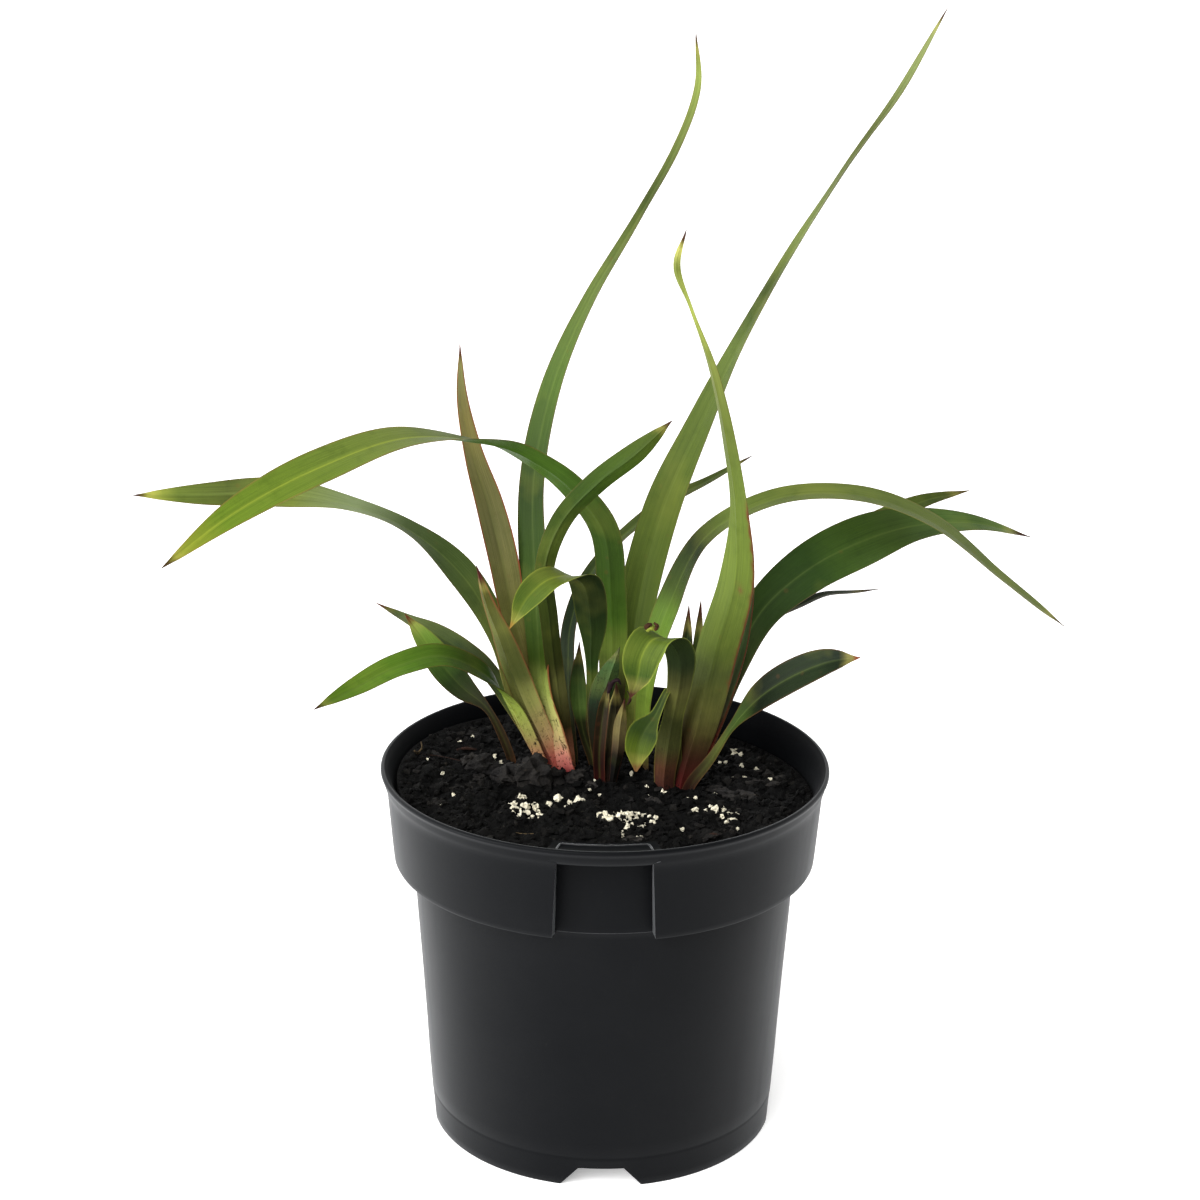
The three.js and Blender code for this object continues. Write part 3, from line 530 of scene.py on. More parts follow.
def mix_relief(x, y):
    """Crumbs, hollows and lumps above or below the level of the mix."""
    place = Vector((x, y, 3))
    relief = 1.3 * noise.fractal(place / 9, 1, 2.1, 4)
    for size, shift, level, height in CELL_LAYERS:
        relief += height * (level - noise.voronoi(place / size + Vector(shift))[0][0])
    relief += 0.6 * noise.fractal(place / 2.2, 0.8, 2.2, 3)
    for middle_x, middle_y, reach_x, reach_y, height in LUMPS:
        span = ((x - middle_x) / reach_x) ** 2 + ((y - middle_y) / reach_y) ** 2
        if span < 1:
            relief += height * 0.8 * (1 - span) ** 0.8
    edge = min(1.0, max(0.0, (mix_reach(x, y) - math.hypot(x, y)) / EDGE_SLOPE))
    return relief * edge - EDGE_DROP * (1 - edge)


def disc_point(a, b):
    """The square from -1 to 1 laid onto the unit disc, ring by ring."""
    if a == 0 and b == 0:
        return 0.0, 0.0
    if abs(a) > abs(b):
        turn = math.pi / 4 * b / a
        return a * math.cos(turn), a * math.sin(turn)
    turn = math.pi / 4 * a / b
    return b * math.sin(turn), b * math.cos(turn)


def make_mix():
    """The bed: a square grid laid onto the disc for the top, then rings for the side, then the base."""
    cells = MIX_CELLS
    points = []
    for row in range(cells + 1):
        for column in range(cells + 1):
            x, y = disc_point(2 * column / cells - 1, 2 * row / cells - 1)
            reach = mix_reach(x, y)
            x *= reach
            y *= reach
            points.append((x, y, soil_height(x, y) + mix_relief(x, y)))
    width = cells + 1
    faces = []
    for row in range(cells):
        for column in range(cells):
            corner = row * width + column
            faces.append((corner, corner + 1, corner + width + 1, corner + width))
    ring = list(range(cells))
    ring += [row * width + cells for row in range(cells)]
    ring += [cells * width + cells - column for column in range(cells)]
    ring += [(cells - row) * width for row in range(cells)]
    turns = [math.atan2(points[index][1], points[index][0]) for index in ring]
    above = ring
    for radius, height in MIX_SIDE:
        first = len(points)
        for turn in turns:
            held = min(radius, mix_reach(math.cos(turn), math.sin(turn)))
            points.append((held * math.cos(turn), held * math.sin(turn), height))
        below = list(range(first, first + len(ring)))
        for index in range(len(ring)):
            after = (index + 1) % len(ring)
            faces.append((above[after], above[index], below[index], below[after]))
        above = below
    points.append((0, 0, MIX_SIDE[-1][1]))
    middle = len(points) - 1
    for index in range(len(ring)):
        faces.append((above[(index + 1) % len(ring)], above[index], middle))
    bed = make_piece("potting_mix_bed", points, faces, mix_material, "potting_mix")
    # Painted shade: the bed darkens to near black in its hollows and keeps its full colour on crumbs and
    # lumps.
    relief = np.array([z - soil_height(x, y) for x, y, z in points])
    shade = 0.08 + 1.0 * smooth_step(-1.2, 2.2, relief)
    set_shade(bed, shade)


make_mix()


# Loose grains: closed chunks knocked out of a rounded shape

def ball(level):
    """Points and faces of a ball at a level of detail."""
    shape = bmesh.new()
    bmesh.ops.create_icosphere(shape, subdivisions=level, radius=1)
    points = np.array([vertex.co[:] for vertex in shape.verts])
    faces = np.array([[vertex.index for vertex in face.verts] for face in shape.faces])
    shape.free()
    return points, faces


BALLS = {level: ball(level) for level in (1, 2, 3)}


def random_turn():
    axis = Vector((random.gauss(0, 1), random.gauss(0, 1), random.gauss(0, 1))).normalized()
    return np.array(Matrix.Rotation(random.uniform(0, math.tau), 3, axis))


def chunk(level, reach, roughness, turn=None):
    """Points of one chunk: a ball pushed in and out at random, stretched and turned."""
    points = BALLS[level][0]
    shift = Vector((random.uniform(0, 99), random.uniform(0, 99), random.uniform(0, 99)))
    swell = [1 + roughness * noise.noise(Vector(point) * 1.7 + shift) for point in points]
    shaped = points * np.array(swell)[:, None] * np.array(reach)
    return shaped @ (random_turn() if turn is None else turn).T


def make_chunks(name, grains, material, node=None):
    """One piece of many chunks, each given as a level of detail, its points and its shade."""
    points = []
    faces = []
    start = 0
    for level, shape, _ in grains:
        points.append(shape)
        faces.append(BALLS[level][1] + start)
        start += len(shape)
    joined = [tuple(face) for block in faces for face in block.tolist()]
    piece = make_piece(name, np.concatenate(points), joined, material, node, smooth=False)
    set_shade(piece, np.concatenate([np.full(len(shape), shade) for _, shape, shade in grains]))


CRUMB_COUNT = 4200
FLAKE_COUNT = 190

# Bark chips that stand out: place, half length, half width, half height, heading
BARK_CHIPS = [
    (-24.5, -2.5, 6.4, 4.4, 5, 10), (-33.5, 0.5, 4.8, 3.6, 3.6, -15), (-40.5, 3.5, 4.6, 2.8, 2.6, 10),
    (-16.5, 1.5, 3.2, 2.6, 3, 30), (-10.5, 3.5, 2.8, 2.2, 2.4, 0), (-4.5, 0, 2, 1.5, 1.2, 40),
    (16, -10, 2.4, 1.6, 1.2, -20), (50, 8, 3.2, 2, 1.2, 15), (-46, 12, 3, 2, 1.4, 60),
    (46, -3.3, 4.6, 3.2, 1.1, 20), (41, -1, 3.4, 2.4, 1, -30), (37.5, 2.5, 2.6, 2, 0.9, 10),
    (35, -40.5, 2.6, 1.4, 0.7, 35), (-33.5, 3.5, 3.6, 2, 1.2, 15), (-42, 1, 3, 1.8, 1, -20),
    (-55, -24, 2.8, 1.6, 0.8, 60), (10, -44, 3.2, 1.5, 0.8, 5), (-20, 48, 4, 2.4, 1, 40),
    (30, 44, 3.6, 2.2, 1, -25), (56, 18, 2.8, 1.7, 0.8, 80), (-58, 20, 3, 1.8, 0.9, -70),
]


def ground(x, y):
    return soil_height(x, y) + mix_relief(x, y)


def scatter(share):
    """A random point on the mix, up to a share of the way to the wall of the pot."""
    turn = random.uniform(0, math.tau)
    radius = mix_reach(math.cos(turn), math.sin(turn)) * math.sqrt(random.random()) * share
    return radius * math.cos(turn), radius * math.sin(turn)


def grain_shade():
    """Most grains are nearly black and a few are lighter."""
    return 0.12 + 1.8 * random.random() ** 5


def make_crumbs():
    grains = []
    for _ in range(CRUMB_COUNT):
        x, y = scatter(0.98)
        size = 0.35 + 1.25 * random.random() ** 3.2
        reach = (size * random.uniform(0.8, 1.5), size, size * random.uniform(0.55, 0.9))
        grains.append((1, chunk(1, reach, 0.9) + (x, y, ground(x, y) + size * 0.25), grain_shade()))
    make_chunks("mix_crumbs", grains, crumb_material)


def make_bark():
    """Small flakes all over, and the larger chips and lumps at their places."""
    grains = []
    for _ in range(FLAKE_COUNT):
        x, y = scatter(0.93)
        length = random.uniform(1.2, 3)
        reach = (length, length * random.uniform(0.35, 0.6), random.uniform(0.35, 0.7))
        spin = Matrix.Rotation(random.uniform(0, math.tau), 3, "Z")
        lean = Matrix.Rotation(random.uniform(-0.4, 0.4), 3, "X")
        shape = chunk(2, reach, 0.8, np.array(spin @ lean)) + (x, y, ground(x, y) + 0.35)
        grains.append((2, shape, grain_shade()))
    for x, y, length, width, height, heading in BARK_CHIPS:
        spin = Matrix.Rotation(math.radians(heading), 3, "Z")
        shape = chunk(3, (length, width, height), 0.95, np.array(spin))
        grains.append((3, shape + (x, y, ground(x, y) + height * 0.5), random.uniform(0.7, 1.8)))
    make_chunks("mix_bark", grains, bark_material)


make_crumbs()
make_bark()


# Perlite

# Grains that can be told apart: place, half size
PERLITE_GRAINS = {
    "perlite_front_left": [
        (-29.5, -22, 1.3), (-26.6, -22, 1.4), (-21.2, -27.6, 1.2), (-18.5, -20, 1.3),
        (-25.2, -25.5, 1.2), (-15.5, -14.9, 1.4), (-12.8, -19, 1), (-8.6, -16.3, 1.3), (-11.5, -14.3, 0.9),
    ],
    "perlite_front_middle": [
        (5.5, -24.5, 1.4), (4.7, -28, 1.5), (8, -27, 1.5), (7.6, -33, 1.4), (0.2, -27.3, 1.3),
        (-2, -24, 1.2), (1.8, -30, 1.3), (11.4, -32.5, 1.2), (15.6, -31, 1.1), (16.8, -26, 1),
        (5.6, -42, 0.9), (10.3, -42.5, 0.8), (12, -41, 0.8), (5.8, -37, 0.8),
    ],
    "perlite_front_right": [
        (36.5, -18.5, 1.3), (38.6, -13, 1), (39.3, -17, 1.1), (38.6, -22, 1.2), (43.5, -18.3, 1),
        (40.4, -25.6, 1.1), (42.4, -27.5, 1), (43.2, -32, 1.1), (35, -14, 0.8),
    ],
    "perlite_back_left": [
        (-38, 20.5, 1), (-41.2, 14.3, 1.1), (-35.6, 16, 1.2), (-45, 9.9, 0.9), (-38.6, 13.4, 0.8),
    ],
}

# Grains that fill the rest of each patch: middle, half lengths, count
PERLITE_FILL = {
    "perlite_front_left": (-26.2, -22.5, 5.2, 7.5, 26),
    "perlite_front_middle": (6.5, -26.5, 9, 6.5, 24),
    "perlite_front_right": (39.5, -19, 3.6, 6.5, 4),
    "perlite_back_left": (-39.5, 16, 3.5, 4, 3),
}
GRAIN_SPACING = 1.35

# Grains that lie alone
LOOSE_PERLITE = [
    (-1.8, -5.1, 1.3), (-5, -3.4, 0.6), (-3.4, 3, 0.5), (4.4, -7, 0.9), (4.6, -2, 0.7), (14.2, 0.7, 0.8),
    (19.5, -1.9, 0.9), (13.9, -5.6, 0.8), (10.5, -21, 0.7), (27.4, -8, 0.7), (30.3, -6.5, 0.8),
    (30.1, -16.6, 0.9), (33.3, -17, 1), (36.9, -2.8, 0.8), (25.4, -32.1, 0.8), (8.9, 11, 0.9),
    (45.5, 34.8, 1.5), (47, 30, 0.9), (39.7, 26.6, 0.9), (41.6, 24.8, 0.8), (46.9, 23.2, 0.8),
    (43.8, 13.5, 1), (47.5, 12.4, 0.9), (56, 9.7, 0.8), (-50.1, 29.6, 0.6), (-54.5, 1.5, 0.7),
    (-50, -16, 0.8), (-54, -25.3, 0.7), (-27, 15.5, 0.6), (-20, 40, 1), (-8, 46, 0.9), (14, 48, 1.1),
    (30, 38, 0.9), (-46, 36, 0.9), (-34, 34, 1), (22, 56, 0.8), (-14, 58, 1), (4, 60, 0.8),
    (50, -8, 0.7), (52, 22, 0.8), (-60, 12, 0.8), (-22, 52, 0.8), (38, 50, 0.9), (-44, -30, 0.7),
]


def perlite_grain(x, y, size):
    size *= random.uniform(0.68, 1.0)
    reach = (size * random.uniform(0.8, 1.3), size, size * random.uniform(0.65, 0.95))
    return 2, chunk(2, reach, 1.25) + (x, y, ground(x, y) + size * 0.45), 1


def make_perlite():
    for node, placed in PERLITE_GRAINS.items():
        grains = [perlite_grain(*grain) for grain in placed]
        taken = [(x, y) for x, y, _ in placed]
        middle_x, middle_y, reach_x, reach_y, count = PERLITE_FILL[node]
        while count:
            radius = math.sqrt(random.random())
            turn = random.uniform(0, math.tau)
            x = middle_x + reach_x * radius * math.cos(turn)
            y = middle_y + reach_y * radius * math.sin(turn)
            if min(math.hypot(x - a, y - b) for a, b in taken) > GRAIN_SPACING:
                taken.append((x, y))
                grains.append(perlite_grain(x, y, random.uniform(0.45, 1.15)))
                count -= 1
        make_chunks(node + "_grains", grains, perlite_material, node)
    loose_grains = [perlite_grain(*grain) for grain in LOOSE_PERLITE]
    make_chunks("perlite_loose", loose_grains, perlite_material)


make_perlite()


# Leaves

# Middle of each shoot at the soil
CROWNS = {
    "shoot_left": (-14.5, 15), "shoot_left_small": (-31.5, 17), "shoot_middle": (0, 17),
    "shoot_bud": (0.4, 4.6), "shoot_back": (6, 31), "shoot_arching": (13, 17), "shoot_right": (24.5, 5),
}

# Name, node, heading, fold and stations, as in the solids. A station has x, y, z, the half width and
# the turn about the leaf's own length. Stations run from the soil to the tip.
LEAVES = [
    ("tall", "shoot_left", 41, 14, [
        (-12.8, 12.5, 117, 4, 25), (-17, 11.5, 133, 4.5, 22), (-21.8, 12.8, 152, 3.8, 18),
        (-24, 18, 184.5, 5.2, 25), (-25, 23, 217, 5.2, 12), (-19, 28, 249, 4.4, 8),
        (-6.5, 33, 278, 3.4, -5), (9, 38.5, 304, 2.6, -9), (21.2, 43, 326, 2, -4),
        (27.9, 46.5, 345, 1.5, 4), (27, 50, 362.5, 0.4, 10)]),
    ("bronze_upright", "shoot_left", 166, 16, [
        (-17.5, 17.5, 117, 3.2, -40), (-22.5, 17, 136.5, 3.8, -40), (-26.5, 16.5, 155.5, 3.9, -38),
        (-31.5, 17, 174, 4.9, -43), (-35, 18, 193, 5.3, -50), (-39.5, 19.5, 211, 5.1, -44),
        (-45, 21, 228.5, 4.1, -30), (-48.5, 22.5, 246.5, 2.7, -25), (-49, 24, 264.5, 0.4, -20)]),
    ("long_left", "shoot_left", -175, 12, [
        (-18.5, 16, 117, 2.8, -60), (-28.5, 14, 142.5, 4.4, -65), (-36, 14, 167, 5, -48),
        (-48, 14, 188, 5.8, -48), (-65.5, 12, 204.5, 5.8, -10), (-86.5, 9.5, 214, 5.6, -10),
        (-109, 7, 218, 5.4, -45), (-132, 4.5, 218, 4, -45), (-154.5, 2, 218.2, 0.4, -45)]),
    ("low_back", "shoot_left", 154, 14, [
        (-17.5, 19.5, 117, 2.4, -45), (-27, 18, 132, 3, -20), (-39.5, 24.5, 149.5, 3.6, -22),
        (-48.5, 29, 155.5, 4.2, -35), (-58.5, 33.5, 160.5, 3.8, -30), (-69, 37.5, 164.5, 2.4, -10),
        (-79.5, 42, 168.5, 0.4, -10)]),
    ("low_front", "shoot_left", -139, 13, [
        (-20.8, 13.5, 117, 3.9, -10), (-25.6, 12, 130, 3.7, 5), (-31.5, 8.5, 144.5, 3.6, 5),
        (-40, 2, 157.5, 4.3, -42), (-53.5, -8, 167.5, 4.4, -42), (-67.5, -21, 168.5, 4.5, -30),
        (-80, -34.5, 166, 3.5, -25), (-92, -48, 163.5, 0.4, -25)]),
    ("folded", "shoot_left", -152, 28, [
        (-16, 14, 117, 3.2, 50), (-21, 12.5, 131, 3.9, 47), (-26.3, 10.5, 143.5, 4.6, 46),
        (-31, 8, 157, 4.8, 42), (-34.8, 3, 170.5, 4, 35), (-39.3, -1.5, 184.5, 2.3, 30),
        (-42.5, -6, 198, 0.4, 30)]),
    ("forward_right", "shoot_left", -50, 14, [
        (-12.5, 15, 117, 2.8, -30), (-15, 13.5, 139, 3, -30), (-17.3, 11.5, 157.5, 3, -30),
        (-19, 7.5, 175, 3, -30), (-20.5, 2, 194.5, 3.2, -35), (-15, -3.5, 212.5, 3.6, -35),
        (-4, -12.5, 228, 4, -40), (8.5, -23.5, 241.5, 3.6, -45), (19.5, -34, 255, 0.4, -45)]),
    ("thin_back", "shoot_left", 47, 16, [
        (-10.8, 18.5, 117, 2.4, 10), (-12.6, 24.5, 136, 3, 5), (-13.1, 29, 151, 3.3, 0),
        (-12.2, 35, 164.5, 3.3, -5), (-6.5, 45, 177.5, 3.1, -5), (4.5, 57, 188, 3, -5),
        (20.5, 68, 197.8, 2.8, 10), (36, 79, 203, 1.9, 10), (51.5, 90, 208.8, 0.4, 10)]),
    ("stalked", "shoot_left_small", -175, 10, [
        (-31.5, 17, 118, 1.6, -60), (-35, 17.5, 129, 1.6, -60), (-40.5, 18, 139.5, 1.5, -60),
        (-48.5, 18.5, 146.5, 4.4, -60), (-55.5, 19.5, 154.5, 5.2, -62), (-61.5, 20.5, 163, 3.6, -60),
        (-68, 22, 171.5, 0.4, -60)]),
    ("great_arch", "shoot_middle", -140, 11, [
        (1, 18.5, 117, 2.8, 45), (2, 21, 138, 4, 45), (2.2, 21.5, 158, 4.8, 45),
        (1.5, 20.5, 180, 5, 42), (-1, 19.5, 202, 5, 40), (-11.5, 17, 217.5, 5, 36),
        (-23.5, 11.5, 228.5, 5.2, 28), (-38, 3, 237, 5.8, 14), (-64.5, -15.5, 243.5, 6, -16),
        (-90, -39, 240, 6.2, -36), (-112.5, -63.5, 233, 4.3, -45), (-131.5, -88, 223, 0.4, -50)]),
    ("nodding", "shoot_middle", -130, 14, [
        (-1.5, 15, 117, 2.6, 20), (-3.8, 13.5, 137, 2.8, 20), (-4.8, 12, 157.5, 2.2, 20),
        (-5, 8.5, 174.5, 5.2, 30), (-8, 1.5, 191, 5.8, 20), (-17.5, -8, 195, 4.8, -22),
        (-25.5, -14, 190.3, 4.2, -40), (-31.3, -19, 181, 0.4, -35)]),
    ("young_back", "shoot_middle", 111, 22, [
        (-3, 18, 117, 1.8, -20), (-7.6, 19.2, 131, 1.6, -20), (-9.4, 20.6, 145.5, 2.9, -20),
        (-9.1, 23, 161.8, 0.4, -20)]),
    ("young_front", "shoot_middle", -28, 18, [
        (-0.5, 14.5, 117, 2.2, -45), (-2, 12.5, 135.5, 3.8, -45), (0, 10.5, 151, 4.5, -45),
        (4.5, 9, 165, 0.4, -45)]),
    ("bud", "shoot_bud", -42, 30, [
        (-1.6, 5, 117, 1.8, 128), (-2, 4, 130, 2, 128), (-0.8, 3.3, 144.5, 1.9, 128),
        (1, 2.5, 155.5, 0.4, 128)]),
    ("bud_fold", "shoot_bud", -90, 30, [
        (1, 5.5, 117, 2, 0), (2, 5.5, 129, 2.6, 0), (3.3, 5, 142, 2.8, 0), (3.5, 4.5, 154, 0.4, 0)]),
    ("bud_scale", "shoot_bud", -90, 24, [
        (2.4, 3, 117, 1.2, 0), (4.2, 3, 130, 2.1, 0), (5, 3, 140, 2.1, 0), (6.4, 3, 149, 0.4, 0)]),
    ("tallest", "shoot_back", 28, 13, [
        (6, 30.5, 117, 3.2, 40), (7.5, 29.5, 140, 5.2, 40), (10.5, 30.5, 173, 6.8, 38),
        (18.5, 35, 205, 6.8, 32), (31, 41, 234, 6, 12), (45, 48.5, 262.5, 4.8, -8),
        (61, 57, 289.5, 3.8, -12), (78, 66.5, 315, 2.8, -20), (96.6, 76, 340, 2.2, 0),
        (112.5, 85, 367, 0.4, 10)]),
    ("long_right", "shoot_arching", -3, 12, [
        (13, 17, 118, 2.6, 60), (13, 16, 140, 3.4, 50), (15.5, 15, 160, 4.4, 48),
        (20.5, 13.5, 178, 5.2, 45), (32, 12.5, 202.5, 5.6, 20), (55, 10, 217, 5.6, 12),
        (82, 8.5, 219, 5.6, 11), (107.5, 9, 209.5, 5.2, 10), (129.5, 9.5, 191.5, 3.9, 8),
        (143, 10, 180.8, 2.7, 8), (152.5, 10, 173.5, 0.4, 8)]),
    ("wavy_upright", "shoot_right", -109, 14, [
        (26, 3.5, 118, 3.8, 0), (31.5, 2.5, 141.5, 6.2, 5), (36.5, 0.5, 167, 6.9, 5),
        (42, -2, 192, 6.1, -5), (42, -5.5, 217.5, 4.2, -28), (38, -7.5, 242, 3.4, -34),
        (32.5, -7, 265, 2.2, -36), (25.5, -6, 283.5, 1.3, -40), (20.7, -6, 297, 1.3, -10),
        (23.5, -6, 309, 0.4, 0)]),
    ("broad_right", "shoot_right", 13, 10, [
        (27.5, 5, 118, 3.4, 60), (34.5, 6.5, 135.5, 3.8, 55), (42.2, 10.5, 156.5, 4.6, 55),
        (51.5, 15.5, 175.5, 6.4, 55), (66.5, 19.5, 189, 8.3, 55), (84, 23.5, 197.8, 8.8, 55),
        (102.5, 27, 203, 7.4, 30), (123, 30.5, 203, 4.8, 18), (143.5, 34, 197, 0.4, 15)]),
    ("behind_right", "shoot_right", 29, 12, [
        (28.5, 8.5, 118, 2, 40), (32, 14, 131, 2.6, 25), (37.5, 20, 146, 3, 15),
        (43.5, 26, 162, 3.6, 15), (50.5, 32, 172, 4.2, 20), (72.5, 43, 187, 4.6, 20),
        (90, 48, 196, 4.6, 22), (107.5, 54, 203, 3.2, 25), (125.5, 62, 205, 0.4, 25)]),
    ("thin_right", "shoot_right", 31, 16, [
        (27, 7.5, 118, 1.8, 20), (34, 12, 131, 2, 15), (39, 17, 145, 2.2, 10),
        (44.8, 22.5, 159, 2.4, 0), (55, 29, 168, 2.6, 0), (66, 34, 172, 2.5, 0),
        (75, 38, 174.5, 2.2, 0), (86, 42, 174.2, 1.5, 0), (94, 46, 174, 0.4, 0)]),
    ("low_right", "shoot_right", -35, 12, [
        (28.5, 1, 118, 2.2, 80), (35.5, -3.5, 130.5, 1.9, 70), (42, -7.5, 143.5, 2, 55),
        (49.5, -14.5, 156, 5, 60), (59, -21.5, 166, 5.6, 65), (70, -28.8, 174, 4.6, 60),
        (80.5, -36, 178.5, 0.4, 60)]),
    ("hanging", "shoot_right", -115, 12, [
        (20, 2.5, 118, 3.4, 20), (21, 0, 133, 4.2, 22), (22.5, -2.5, 145, 3.4, 22),
        (24.3, -5.5, 158, 4.2, 22), (24.2, -9, 168.5, 5, 15), (20.5, -13, 176, 5.6, 0),
        (15, -17.5, 177.5, 6.2, -15), (11.3, -21, 172.5, 6.2, -25), (10, -23, 166, 4.3, -25),
        (7.8, -25, 159.5, 0.4, -25)]),
    ("short_bent", "shoot_right", -125, 12, [
        (24, 5, 118, 2.2, 10), (23.5, 3, 134, 2, 10), (23, 0.5, 148, 1.6, 5), (21, -3, 155, 1.3, 0),
        (16.5, -5.5, 146.5, 1.9, -15), (12.8, -7.5, 141.3, 5, -25), (10.8, -9.5, 135.5, 4.4, -25),
        (10.2, -11, 128.5, 1.4, -25)]),
    ("red_spike", "shoot_right", 11, 24, [
        (28.5, 4, 118, 1.8, 60), (38, 6, 142, 2.2, 60), (44.2, 7, 163, 2.2, 60),
        (46.8, 7.5, 178, 1.7, 60), (48.6, 8, 192.5, 0.4, 60)]),
    ("spike_one", "shoot_right", 63, 24, [
        (23, 6.5, 118, 1.5, 26), (25, 6, 145, 2.2, 26), (26.5, 6, 163, 2.3, 26), (27.2, 6.5, 181, 0.4, 26)]),
    ("spike_two", "shoot_right", 56, 24, [
        (25, 8, 118, 1.5, 33), (28.5, 7, 145, 2, 33), (30.3, 7.5, 163.5, 1.9, 33),
        (31.2, 8.5, 182, 0.4, 33)]),
]
